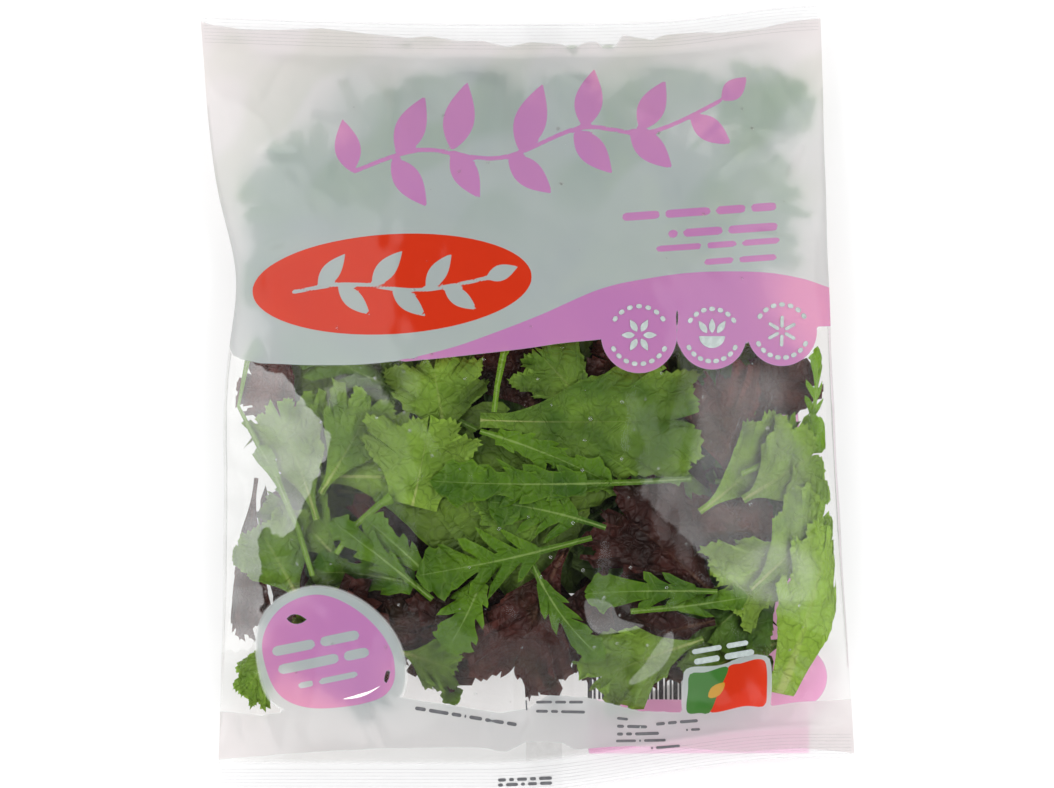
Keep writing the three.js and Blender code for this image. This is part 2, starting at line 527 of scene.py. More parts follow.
class Leaf:
    """A leaf before it is laid: a grid with rows along its rib and columns from margin to margin."""

    def __init__(self, rng, outline, spread, rib_width, rib_thickness, blade,
                 ruffle, ruffles, blister, cup, limp, bend, tone):
        q, rib, margins = outline
        steps = np.array(spread)
        sides = []
        for margin in margins:
            way = margin - rib
            reach = np.maximum(np.linalg.norm(way, axis=1), 0.3)
            way = way / reach[:, None]
            near = np.minimum(rib_width * mix(1.0, 0.22, q), reach * 0.55)
            sides.append([rib + way * (near + (reach - near) * step)[:, None] for step in steps])
        self.flat = np.stack(sides[0][::-1] + [rib] + sides[1], 1)
        self.middle = len(steps)
        self.tone = tone
        self.q = np.repeat(q[:, None], self.flat.shape[1], 1)
        self.edge = np.repeat(np.concatenate([steps[::-1], [0], steps])[None], len(q), 0)
        self.thickness = np.full(self.q.shape, blade)
        self.thickness[:, [0, -1]] = MARGIN_BLADE
        self.thickness[:, self.middle] = np.maximum(blade * 1.3, rib_thickness * mix(1.0, 0.3, q))
        self.wave(rng, ruffle, ruffles, blister, cup, limp)
        self.curve(bend)

    def wave(self, rng, ruffle, ruffles, blister, cup, limp):
        """The depth under the blade's highest point: margin ruffles, blisters, a hollow and limp dips."""
        x, y = self.flat[..., 0], self.flat[..., 1]
        length, half = x.max(), np.abs(y).max()
        side = np.sign(np.arange(self.q.shape[1]) - self.middle)
        turn = 2 * np.pi * (ruffles * self.q + rng.uniform(0, 1) + 0.5 * (side > 0))
        turn = turn + 1.3 * np.sin(2 * np.pi * self.q * 1.7 + rng.uniform(0, 6))
        lively = self.edge ** 2 * ramp(self.q, 0.12, 0.4)
        pleat = length * 0.014 * ruffle * lively * np.sin(2 * turn)
        depth = ruffle * lively * np.sin(turn)
        depth = depth + blister * random_waves(rng, 9)(x, y) * (1 - 0.6 * self.edge)
        depth = depth + 0.4 * blister * random_waves(rng, 4.5)(x, y)
        depth = depth + cup * (y / half) ** 2 + limp * random_waves(rng, 30)(x, y)
        self.depth = depth - depth.min()
        self.x = x + pleat * (1 - self.q * 0.7)
        self.y = y - side * pleat * 0.6 * self.q

    def curve(self, bend):
        """Bends the rib into an arc of that angle, with its ends on the x axis."""
        length = self.flat[..., 0].max()
        curve = (bend if abs(bend) > 0.01 else 0.01) / length
        x = np.sin(curve * self.x) / curve - np.sin(curve * self.x) * self.y
        y = (1 - np.cos(curve * self.x)) / curve + np.cos(curve * self.x) * self.y
        end = (math.sin(curve * length) / curve, (1 - math.cos(curve * length)) / curve)
        self.length = math.hypot(*end)
        lean = math.atan2(end[1], end[0])
        self.x = x * math.cos(lean) + y * math.sin(lean)
        self.y = y * math.cos(lean) - x * math.sin(lean)


def rocket_leaf(rng, length, width, lobes=4, lobe_depth=0.8, stalk=0.34, bend=0.25, ruffle=1.2,
                cup=1.5, tone=0.4, grid="coarse"):
    outline = rocket_outline(rng, length, width, lobes, lobe_depth, stalk)
    return Leaf(rng, outline, ROCKET_SPREAD[grid], **ROCKET_RIB, ruffle=ruffle, ruffles=2.5, blister=0.25,
                cup=cup, limp=1.0, bend=bend, tone=tone)


def green_leaf(rng, length, width, neck=0.09, bend=0.1, ruffle=3.5, cup=2.0, lobe_depth=0.17,
               tone=0.4, rib=1.0, grid="coarse"):
    lobes = rng.uniform(2.8, 4.6)
    outline = lettuce_outline(rng, length, width, TEETH[grid], GREEN_TOOTH, lobes, lobe_depth, neck)
    ribs = {**LETTUCE_RIB, "rib_width": LETTUCE_RIB["rib_width"] * rib}
    return Leaf(rng, outline, LETTUCE_SPREAD[grid], **ribs, ruffle=ruffle, ruffles=3.2, blister=0.8,
                cup=cup, limp=1.6, bend=bend, tone=tone)


def red_leaf(rng, length, width, neck=0.09, bend=0.1, ruffle=5.0, cup=3.0, lobe_depth=0.2, tone=0.4,
             grid="coarse"):
    lobes = rng.uniform(3.4, 5.4)
    outline = lettuce_outline(rng, length, width, TEETH[grid], RED_TOOTH, lobes, lobe_depth, neck)
    return Leaf(rng, outline, LETTUCE_SPREAD[grid], **LETTUCE_RIB, ruffle=ruffle, ruffles=4.3, blister=1.5,
                cup=cup, limp=2.0, bend=bend, tone=tone)


MAKERS = {"rocket": rocket_leaf, "green": green_leaf, "red": red_leaf}


def refine(grid, rows, columns):
    """More points between a leaf's own, along its rows and its columns."""
    r = np.linspace(0, grid.shape[0] - 1, (grid.shape[0] - 1) * rows + 1)
    c = np.linspace(0, grid.shape[1] - 1, (grid.shape[1] - 1) * columns + 1)
    i = np.minimum(r.astype(int), grid.shape[0] - 2)
    j = np.minimum(c.astype(int), grid.shape[1] - 2)
    grid = mix(grid[i], grid[i + 1], (r - i)[:, None])
    return mix(grid[:, j], grid[:, j + 1], c - j)


def soft_limit(value, free, most):
    """The value as it is up to free, and then bending over towards most."""
    over = np.maximum(np.abs(value) - free, 0)
    bent = (most - free) * np.tanh(over / (most - free))
    return np.sign(value) * (np.minimum(np.abs(value), free) + bent)


class Pile:
    """Leaves laid one under the other, inwards from one side of the film. Heights count towards it."""

    def __init__(self, film, middle, facing):
        self.film = film
        self.middle = middle
        self.facing = facing
        self.under = film - AIR
        self.leaves = []

    def lay(self, kind, leaf, x, y, turn, sunk, tilt=0.0, flip=1, ends=END_ROOM):
        """Puts a leaf's base at x, y with its tip towards turn, the base sunk that far under the film."""
        lx, ly = leaf.x, leaf.y * flip
        px = x + lx * math.cos(turn) - ly * math.sin(turn)
        py = y + lx * math.sin(turn) + ly * math.cos(turn)
        u, v = film_shares(px, py)
        u = 0.5 + soft_limit(u - 0.5, *SIDE_ROOM)
        v = HEAP_MIDDLE + soft_limit(v - HEAP_MIDDLE, *ends)
        px, py = flat_place(u, v)
        film = lattice(self.film, px, py)
        room = np.maximum(film - lattice(self.middle, px, py), LEAST_ROOM)
        down = np.maximum(sunk + tilt * leaf.q + leaf.depth, 0)
        height = film - AIR - room * (1 - np.exp(-down / room))
        ceiling = np.minimum(softened(lowest_near(self.under, 2), 3), lowest_near(self.under, 1))
        cover = lattice(ceiling, px, py) - AIR
        height = np.minimum(height, cover)
        for _ in range(EASING_ROUNDS):
            eased = height.copy()
            eased[1:-1] = (height[:-2] + 2 * height[1:-1] + height[2:]) / 4
            eased[:, 1:-1] = (eased[:, :-2] + 2 * eased[:, 1:-1] + eased[:, 2:]) / 4
            height = np.minimum(eased, cover)
        x, y, lowest = [refine(a, **FINER) for a in (px, py, height - leaf.thickness)]
        i = np.clip(np.rint((y - GRID_Y[0]) / GRID_STEP).astype(int), 0, len(GRID_Y) - 1)
        j = np.clip(np.rint((x - GRID_X[0]) / GRID_STEP).astype(int), 0, len(GRID_X) - 1)
        np.minimum.at(self.under, (i, j), lowest)
        leaf.place = np.stack([px, py, height * self.facing], -1)
        leaf.thick_to = self.facing
        leaf.buried = film - AIR - height
        leaf.turned = flip * self.facing
        self.leaves.append((kind, leaf))

    def crowded(self, x, y):
        """Whether the heap has reached the bag's middle here."""
        at = (np.array([x]), np.array([y]))
        return lattice(self.under, *at)[0] < lattice(self.middle, *at)[0] + NEAR_MIDDLE


def show_leaf(pile, rng, grid, kind, base, tip, sunk=0.3, tilt=0.0, flip=1, **shape):
    """Lays a leaf that can be told apart in the photograph, from its cut base to its tip."""
    base_x, base_y = on_film(*base)
    tip_x, tip_y = on_film(*tip)
    reach = math.hypot(tip_x - base_x, tip_y - base_y)
    leaf = MAKERS[kind](rng, length=reach, grid=grid, **shape)
    scale = reach / leaf.length
    leaf.x, leaf.y = leaf.x * scale, leaf.y * scale
    pile.lay(kind, leaf, base_x, base_y, math.atan2(tip_y - base_y, tip_x - base_x), sunk, tilt, flip)


VEILED_LEAVES = {  # kind, pixels of the base and the tip, and shape of leaves that the frosting veils
    "leaf at the top right": ("green", (738, 160), (796, 70), dict(width=44, tone=0.6, ruffle=2.5)),
    "rocket at the top right": ("rocket", (690, 150), (770, 62), dict(width=20, tone=0.5)),
    "leaf at the frost's left": ("green", (336, 222), (258, 156), dict(width=44, tone=0.3)),
    "red leaf behind the pebble": ("red", (272, 650), (392, 640), dict(width=52, tone=0.3)),
    "leaf behind the pebble": ("green", (398, 696), (288, 612), dict(width=46, tone=0.4)),
    "dark leaf behind the label": ("green", (300, 240), (420, 300), dict(width=50, tone=0.2)),
    "leaf under the frost's middle": (
        "green", (470, 190), (400, 70),
        dict(width=46, tone=0.3, ruffle=4.0)),
    "rocket under the frost": (
        "rocket", (610, 200), (560, 60),
        dict(width=26, lobe_depth=0.7, tone=0.3)),
    "leaf at the frost's top": ("green", (640, 130), (700, 60), dict(width=40, tone=0.5, ruffle=4.0)),
    "leaf at the frost's right": ("green", (690, 230), (776, 150), dict(width=44, tone=0.5, ruffle=3.0)),
    "dark leaf at the top": ("red", (520, 130), (440, 58), dict(width=34, tone=0.3)),
    "leaf over the waves": ("green", (560, 290), (680, 210), dict(width=50, tone=0.4)),
    "leaf by the small lines": ("green", (700, 270), (784, 205), dict(width=40, tone=0.4)),
    "leaf left of the label": ("green", (300, 330), (246, 250), dict(width=36, tone=0.3)),
}
SHOWN_LEAVES = {  # the same for leaves under the clear film, from the top of the heap down
    "long rocket in the middle": (
        "rocket", (692, 479), (430, 481),
        dict(width=24, lobe_depth=0.2, stalk=0.4, bend=-0.12, tone=0.3)),
    "toothed rocket": (
        "rocket", (480, 431), (612, 484),
        dict(width=17, lobe_depth=0.15, stalk=0.12, lobes=5, bend=-0.2, tone=0.45)),
    "lower rocket": (
        "rocket", (592, 538), (416, 576),
        dict(width=27, lobe_depth=0.9, stalk=0.3, lobes=4, bend=-0.1, tone=0.4)),
    "rocket stalk at the left": (
        "rocket", (312, 576), (258, 446),
        dict(width=10, lobe_depth=0.4, stalk=0.7, lobes=1, bend=0.3, tone=0.8)),
    "curly stalk at the left": (
        "rocket", (258, 446), (264, 345),
        dict(width=8, lobe_depth=0.3, stalk=0.8, lobes=1, bend=-2.2, tone=0.8)),
    "left of a rocket pair": (
        "rocket", (432, 600), (330, 520),
        dict(width=15, lobe_depth=0.5, stalk=0.3, lobes=3, bend=0.1, tone=0.45)),
    "right of a rocket pair": (
        "rocket", (448, 597), (364, 518),
        dict(width=16, lobe_depth=0.5, stalk=0.35, lobes=3, bend=0.15, tone=0.35)),
    "rocket that hangs down": (
        "rocket", (530, 558), (604, 660),
        dict(width=15, lobe_depth=0.6, stalk=0.2, lobes=3, bend=0.5, tone=0.35)),
    "rocket at the lower right": (
        "rocket", (718, 592), (584, 594),
        dict(width=21, lobe_depth=0.7, stalk=0.16, lobes=3, bend=0.1, tone=0.35)),
    "rocket with a bright stalk": (
        "rocket", (631, 612), (748, 597),
        dict(width=13, lobe_depth=0.4, stalk=0.4, lobes=2, bend=0.1, tone=0.5)),
    "stalk under the waves": (
        "rocket", (494, 412), (506, 346),
        dict(width=6, lobe_depth=0.1, stalk=0.8, lobes=1, bend=-0.2, tone=0.9)),
    "curved stalk at the left": (
        "rocket", (336, 554), (392, 498),
        dict(width=6, lobe_depth=0.1, stalk=0.8, lobes=1, bend=-0.7, tone=0.9)),
    "rocket by the bottom gap": (
        "rocket", (484, 574), (446, 652),
        dict(width=22, lobe_depth=0.5, stalk=0.1, lobes=3, bend=-0.2, tone=0.5)),
    "pale folded lettuce": (
        "green", (412, 506), (430, 414),
        dict(width=52, ruffle=2.0, neck=0.45, tone=0.85, rib=0.5)),
    "broad lettuce": (
        "green", (480, 420), (706, 418),
        dict(width=44, ruffle=2.0, tone=0.4, neck=0.12, rib=0.5, lobe_depth=0.09)),
    "pale lettuce above": (
        "green", (445, 444), (430, 352),
        dict(width=40, ruffle=3.5, tone=0.7, lobe_depth=0.16)),
    "lettuce at the waves": ("green", (596, 418), (532, 346), dict(width=30, ruffle=2.5, tone=0.45)),
    "small stalked lettuce": (
        "green", (320, 494), (378, 392),
        dict(width=27, ruffle=2.5, tone=0.5, neck=0.1)),
    "lettuce behind mist": ("green", (316, 520), (272, 398), dict(width=30, ruffle=2.0, tone=0.6)),
    "dark rocket end": (
        "rocket", (440, 590), (308, 572),
        dict(width=24, lobe_depth=0.2, stalk=0.2, lobes=3, tone=0.2)),
    # The yellow rib and the rockets at the right fold and under the discs have tones above 1, lighter than a
    # leaf's own colour: painted light where the glowing table shines through them.
    "yellow rib": (
        "green", (780, 698), (834, 520),
        dict(width=30, ruffle=2.0, tone=1.4, neck=0.4, rib=3.2, cup=0.5)),
    "lettuce at the right fold": ("green", (752, 590), (842, 500), dict(width=44, ruffle=3.0, tone=0.8)),
    "frilly lettuce at the right": (
        "green", (744, 500), (826, 446),
        dict(width=40, ruffle=4.0, tone=0.75)),
    "rocket at the right fold": (
        "rocket", (742, 474), (836, 424),
        dict(width=22, lobe_depth=1.0, stalk=0.2, lobes=3, tone=1.2)),
    "rocket under the discs": (
        "rocket", (806, 448), (824, 346),
        dict(width=13, lobe_depth=1.0, stalk=0.3, lobes=3, tone=1.4)),
    "frill at the bottom": (
        "green", (704, 640), (582, 686),
        dict(width=34, ruffle=4.5, tone=0.65, lobe_depth=0.22)),
    "curled leaf": ("green", (398, 652), (462, 672), dict(width=24, ruffle=4.5, tone=0.5)),
    "pale leaf under the mist": (
        "green", (812, 548), (712, 594),
        dict(width=34, ruffle=3.0, tone=1.0, neck=0.3)),
    "slanting leaf at the right": (
        "green", (700, 512), (806, 424),
        dict(width=30, ruffle=2.0, tone=0.7, lobe_depth=0.08)),
    "rocket across the right": (
        "rocket", (716, 482), (826, 470),
        dict(width=22, lobe_depth=0.8, stalk=0.3, lobes=3, tone=0.4)),
    "rocket under the long one": (
        "rocket", (606, 528), (488, 502),
        dict(width=26, lobe_depth=0.8, stalk=0.25, lobes=4, tone=0.3)),
    "lettuce under the rockets": ("green", (566, 516), (474, 530), dict(width=34, ruffle=3.0, tone=0.45)),
    "red lettuce in the middle": ("red", (724, 604), (600, 496), dict(width=52, ruffle=3.0, tone=0.3)),
    "red lettuce hanging down": ("red", (566, 548), (505, 692), dict(width=46, ruffle=4.0, tone=0.5)),
    "red lettuce beside it": ("red", (610, 560), (566, 686), dict(width=36, ruffle=4.0, tone=0.4)),
    "red lettuce at the right": ("red", (738, 500), (712, 366), dict(width=34, ruffle=4.5, tone=0.9)),
    "purple lettuce at the right": ("red", (792, 570), (700, 486), dict(width=40, ruffle=3.0, tone=0.6)),
    "red lettuce between them": ("red", (528, 600), (416, 632), dict(width=44, ruffle=3.5, tone=0.3)),
    "red lettuce by the pebble": ("red", (322, 590), (428, 642), dict(width=34, ruffle=3.0, tone=0.3)),
    "red lettuce under the waves": ("red", (540, 420), (500, 338), dict(width=36, ruffle=3.5, tone=0.3)),
    "red lettuce behind the discs": (
        "red", (690, 404), (590, 352),
        dict(width=34, ruffle=3.5, tone=0.3)),
    "red lettuce right of the discs": (
        "red", (752, 430), (806, 350),
        dict(width=34, ruffle=3.0, tone=0.5)),
    "red leaf at the bottom": ("red", (716, 622), (604, 650), dict(width=36, ruffle=4.0, tone=0.35)),
    "dark leaf at the lower right": (
        "green", (790, 572), (704, 640),
        dict(width=42, ruffle=3.0, tone=0.15)),
    "leaf above the pebble": ("green", (300, 604), (254, 520), dict(width=34, ruffle=3.0, tone=0.4)),
    "red lettuce at the left fold": (
        "red", (304, 424), (238, 364),
        dict(width=30, ruffle=3.0, tone=0.9)),
    "dark strip at the left fold": ("red", (256, 478), (238, 644), dict(width=22, ruffle=3.0, tone=0.4)),
    "lettuce end at the lower left": (
        "green", (290, 636), (236, 702),
        dict(width=20, ruffle=2.0, tone=0.7)),
    "lettuce at the left": ("green", (342, 566), (268, 486), dict(width=38, ruffle=3.0, tone=0.4)),
    "rocket end at the bottom": (
        "rocket", (430, 640), (456, 706),
        dict(width=12, lobe_depth=0.5, stalk=0.1, lobes=2, tone=0.75)),
    "leaf under the patch": ("green", (792, 640), (680, 680), dict(width=32, ruffle=3.0, tone=0.4)),
}
HEAP = [  # the pixels round the heap
    (330, 60), (430, 52), (520, 50), (700, 52), (800, 60), (786, 180), (788, 290), (838, 335),
    (843, 520), (839, 690), (700, 704), (600, 696), (556, 672), (505, 690), (450, 706), (420, 690),
    (395, 672), (360, 668), (330, 672), (300, 690), (234, 704), (231, 560), (234, 345), (240, 280),
    (244, 190), (300, 120),
]
GAPS = [  # where the table shows through the heap
    [(806, 366), (850, 344), (850, 446), (812, 452), (800, 436)],
    [(800, 560), (850, 540), (850, 710), (786, 710), (790, 640)],
    [(250, 436), (276, 440), (272, 466), (252, 462)],
    [(520, 655), (560, 652), (560, 700), (500, 712), (486, 690)],
    [(748, 396), (760, 380), (768, 388), (758, 404)],
    [(728, 462), (742, 452), (746, 466), (732, 474)],
]
CRUMBS = [  # pixel, length and turn of the bits of leaf that are caught at the top seal
    ((224, 29), 4, 0.5), ((392, 40), 7, 0.2), ((562, 48), 5, 0.1), ((600, 47), 4.5, 0.4),
    ((705, 34), 5, 1.5),
]
FILL_SEED = 12
FILL_ROUNDS = 5
FILL_TRIES = 14
FRONT_FILL = {"share": 0.5, "first_sunk": 3.5, "step": 3.5}
BACK_FILL = {"share": 0.36, "first_sunk": 0.5, "step": 3.0}
MOST_LEAVES = {"rocket": 92, "green": 56, "red": 60}


def on_heap(outline):
    outline = np.array(outline, float)
    return np.stack(on_film(outline[:, 0], outline[:, 1]), 1)


heap_outline = on_heap(HEAP)
gap_outlines = [on_heap(gap) for gap in GAPS]
heap_low, heap_high = heap_outline.min(0), heap_outline.max(0)


def fits(leaf, x, y, turn, flip):
    """Whether a leaf that is put there stays in the heap's outline and out of its gaps."""
    px = x + leaf.x * math.cos(turn) - leaf.y * flip * math.sin(turn)
    py = y + leaf.x * math.sin(turn) + leaf.y * flip * math.cos(turn)
    if depth_inside(heap_outline, px, py).min() < -1.5:
        return False
    return all(depth_inside(gap, px, py).max() < 0.5 for gap in gap_outlines)


def random_shape(rng, kind):
    if kind == "rocket":
        return dict(length=rng.uniform(70, 105), width=rng.uniform(16, 27), lobes=int(rng.integers(3, 5)),
                    lobe_depth=rng.uniform(0.4, 1), stalk=rng.uniform(0.2, 0.42), bend=rng.normal(0, 0.35),
                    tone=rng.uniform(0.1, 0.7))
    if kind == "green":
        return dict(length=rng.uniform(62, 96), width=rng.uniform(38, 62), bend=rng.normal(0, 0.2),
                    ruffle=rng.uniform(2, 4.5), tone=rng.uniform(0.1, 0.9),
                    lobe_depth=rng.uniform(0.05, 0.2))
    return dict(length=rng.uniform(64, 95), width=rng.uniform(36, 56), bend=rng.normal(0, 0.2),
                ruffle=rng.uniform(3, 5), tone=rng.uniform(0.1, 0.9), lobe_depth=rng.uniform(0.1, 0.25))


def fill_pile(pile, rng, share, first_sunk, step):
    """Loose leaves under the shown ones, deeper each round, until the heap reaches the bag's middle."""
    for round_number in range(FILL_ROUNDS):
        for kind, most in MOST_LEAVES.items():
            for _ in range(round(most * share / FILL_ROUNDS)):
                leaf = MAKERS[kind](rng, **random_shape(rng, kind))
                for _ in range(FILL_TRIES):
                    x, y = rng.uniform(heap_low, heap_high)
                    turn = rng.uniform(0, 2 * math.pi)
                    flip = rng.choice([-1, 1])
                    if fits(leaf, x, y, turn, flip):
                        break
                else:
                    continue
                middle = leaf.length / 2
                if pile.crowded(x + middle * math.cos(turn), y + middle * math.sin(turn)):
                    continue
                sunk = first_sunk + step * round_number + rng.uniform(0, 2)
                pile.lay(kind, leaf, x, y, turn, sunk, rng.normal(0, 3), flip)


grid_u, grid_v = [np.clip(share, 0, 1) for share in film_shares(*np.meshgrid(GRID_X, GRID_Y))]
middle_grid = fold_height(grid_u, grid_v)
front_pile = Pile(front_film(grid_u, grid_v), middle_grid, 1)
back_pile = Pile(-back_film(grid_u, grid_v), -middle_grid, -1)
rng = np.random.default_rng(FILL_SEED)
for grid, leaves in (("coarse", VEILED_LEAVES), ("fine", SHOWN_LEAVES)):
    for kind, base, tip, shape in leaves.values():
        show_leaf(front_pile, rng, grid, kind, base, tip, **shape)
for at, length, turn in CRUMBS:
    crumb = green_leaf(rng, length=length, width=0.6 * length, ruffle=0.3, cup=0.2, tone=0.9)
    front_pile.lay("green", crumb, *on_film(*at), turn, 0.05, ends=CRUMB_ROOM)
fill_pile(front_pile, rng, **FRONT_FILL)
fill_pile(back_pile, rng, **BACK_FILL)


def srgb(red, green, blue):
    """A colour as a picture shows it, 0 to 255, as the light values that a shader takes."""
    parts = [c / 255 for c in (red, green, blue)]
    return tuple(c / 12.92 if c < 0.04045 else ((c + 0.055) / 1.055) ** 2.4 for c in parts) + (1,)


def add(tree, kind, sockets=None, **settings):
    """A new node with its settings, its sockets set to values or linked to other nodes' outputs."""
    node = tree.nodes.new(kind)
    for name, value in settings.items():
        setattr(node, name, value)
    for name, value in (sockets or {}).items():
        if isinstance(value, bpy.types.NodeSocket):
            tree.links.new(value, node.inputs[name])
        else:
            node.inputs[name].default_value = value
    return node


def blend_colour(tree, share, a, b):
    return add(tree, "ShaderNodeMix", {0: share, 6: a, 7: b}, data_type="RGBA").outputs[2]


def sums(tree, operation, a, b=0.0, c=0.0):
    return add(tree, "ShaderNodeMath", {0: a, 1: b, 2: c}, operation=operation).outputs[0]


def step(tree, value, low, high, start=0.0, end=1.0):
    sockets = {"Value": value, "From Min": low, "From Max": high, "To Min": start, "To Max": end}
    return add(tree, "ShaderNodeMapRange", sockets, interpolation_type="SMOOTHSTEP").outputs[0]


def attribute(tree, name):
    return add(tree, "ShaderNodeAttribute", attribute_name=name).outputs["Fac"]


def noise(tree, place, scale, detail=3.0, roughness=0.55):
    sockets = {"Vector": place, "Scale": scale, "Detail": detail, "Roughness": roughness}
    return add(tree, "ShaderNodeTexNoise", sockets, noise_dimensions="2D").outputs["Fac"]


def cell_walls(tree, place, scale):
    """How far a point is from the nearest wall between random cells."""
    sockets = {"Vector": place, "Scale": scale}
    walls = {"feature": "DISTANCE_TO_EDGE", "voronoi_dimensions": "2D"}
    return add(tree, "ShaderNodeTexVoronoi", sockets, **walls).outputs[0]


def finish_material(tree, surface):
    out = add(tree, "ShaderNodeOutputMaterial")
    tree.links.new(surface, out.inputs["Surface"])


def mesh_object(name, points, faces, material, floats=None, uv=None, smooth=math.radians(62)):
    """A mesh from points in millimetres and triangles or quads. Each float has one number per point."""
    data = bpy.data.meshes.new(name)
    data.vertices.add(len(points))
    data.vertices.foreach_set("co", (np.asarray(points, float) * MM).astype(np.float32).ravel())
    faces = np.asarray(faces)
    corners = faces.shape[1]
    data.loops.add(faces.size)
    data.loops.foreach_set("vertex_index", faces.ravel().astype(np.int32))
    data.polygons.add(len(faces))
    data.polygons.foreach_set("loop_start", (np.arange(len(faces)) * corners).astype(np.int32))
    data.polygons.foreach_set("loop_total", np.full(len(faces), corners, np.int32))
    for label, values in (floats or {}).items():
        layer = data.attributes.new(label, "FLOAT", "POINT")
        layer.data.foreach_set("value", np.asarray(values, np.float32).ravel())
    if uv is not None:
        layer = data.uv_layers.new(name="leaf")
        layer.data.foreach_set("uv", np.asarray(uv, np.float32)[faces.ravel()].ravel())
    data.materials.append(material)
    data.update(calc_edges=True)
    data.validate()
    data.polygons.foreach_set("use_smooth", np.ones(len(data.polygons), bool))
    data.set_sharp_from_angle(angle=smooth)
    thing = bpy.data.objects.new(name, data)
    bpy.context.scene.collection.objects.link(thing)
    return thing


def leaf_solid(leaf, rng):
    """Points, triangles, floats and UV of one leaf: upper face, lower face split alike, and rim."""
    rows, columns = leaf.q.shape
    upper = leaf.place.reshape(-1, 3)
    lower = upper.copy()
    lower[:, 2] -= (leaf.thickness * leaf.thick_to).ravel()
    index = np.arange(rows * columns).reshape(rows, columns)
    a, b = index[:-1, :-1], index[1:, :-1]
    c, d = index[1:, 1:], index[:-1, 1:]
    cut = (np.arange(columns - 1) < leaf.middle)[None]
    one = np.where(cut[..., None], np.stack([a, b, c], -1), np.stack([a, b, d], -1)).reshape(-1, 3)
    two = np.where(cut[..., None], np.stack([a, c, d], -1), np.stack([b, c, d], -1)).reshape(-1, 3)
    above = np.concatenate([one, two])
    count = rows * columns
    loop = np.concatenate([index[:-1, 0], index[-1, :-1], index[:0:-1, -1], index[0, :0:-1]])
    after = np.roll(loop, -1)
    rim = np.concatenate([
        np.stack([loop, loop + count, after + count], -1),
        np.stack([loop, after + count, after], -1),
    ])
    faces = np.concatenate([above, above[:, ::-1] + count, rim])
    if leaf.turned < 0:
        faces = faces[:, ::-1]
    rib = np.zeros(leaf.q.shape)
    rib[:, leaf.middle] = 1
    floats = {
        "along": leaf.q, "edge": leaf.edge, "rib": rib,
        "tone": np.full(leaf.q.shape, leaf.tone),
        "buried": leaf.buried,
    }
    floats = {label: np.tile(values.ravel(), 2) for label, values in floats.items()}
    uv = np.tile(leaf.flat.reshape(-1, 2) / 100 + rng.uniform(0, 9, 2), (2, 1))
    return np.concatenate([upper, lower]), faces, floats, uv


def heap(name, kind, piles, material):
    """All leaves of one kind as one mesh."""
    rng = np.random.default_rng(UV_SEED)
    solids = [leaf_solid(leaf, rng) for pile in piles for k, leaf in pile.leaves if k == kind]
    starts = np.cumsum([0] + [len(points) for points, _, _, _ in solids])
    points = np.concatenate([s[0] for s in solids])
    faces = np.concatenate([s[1] + start for s, start in zip(solids, starts)])
    floats = {label: np.concatenate([s[2][label] for s in solids]) for label in solids[0][2]}
    uv = np.concatenate([s[3] for s in solids])
    return mesh_object(name, points, faces, material, floats, uv)


GREENS = {
    "dark": srgb(54, 96, 20), "light": srgb(160, 196, 72), "vein": srgb(70, 96, 22),
    "rib": srgb(200, 208, 128), "shine": srgb(180, 222, 78),
}
ROCKETS = {
    "dark": srgb(46, 88, 6), "light": srgb(126, 170, 30), "vein": srgb(118, 148, 66),
    "rib": srgb(156, 184, 100), "shine": srgb(176, 212, 74),
}
REDS = {
    "dark": srgb(32, 15, 15), "light": srgb(122, 63, 54), "vein": srgb(54, 26, 24),
    "rib": srgb(132, 96, 76), "shine": srgb(168, 92, 66),
}
# Painted shade: a leaf that lies deep under the film is drawn towards this dark colour, at most
# DEEPEST_SHADE of the way.
BURIED_SHADE = (0.010, 0.012, 0.009, 1)
DEEPEST_SHADE = 0.72
CELLS = 8.5
NET = 27.0
VEIN_DRIFT = (0.07, 0.07, 0.0)
CELL_HUE = 0.5
NET_HUE = 0.22
SIDE_VEINS = 9.0
QUILT_DEPTH = 0.9
SHINE_SHARE = 0.7
LIGHT_THROUGH = 0.36
ROCKET_SKIN = {"side_veins": 0.35, "veined": 0.25, "rib_end": 1.6, "gloss": 0.42}
GREEN_SKIN = {"side_veins": 0.0, "veined": 1.0, "rib_end": 0.55, "gloss": 0.45}
RED_SKIN = {
    "side_veins": 0.0, "veined": 0.8, "rib_end": 0.6, "gloss": 0.28, "crinkle": 2.2,
    "blush": srgb(66, 58, 36),
}
UV_SEED = 5


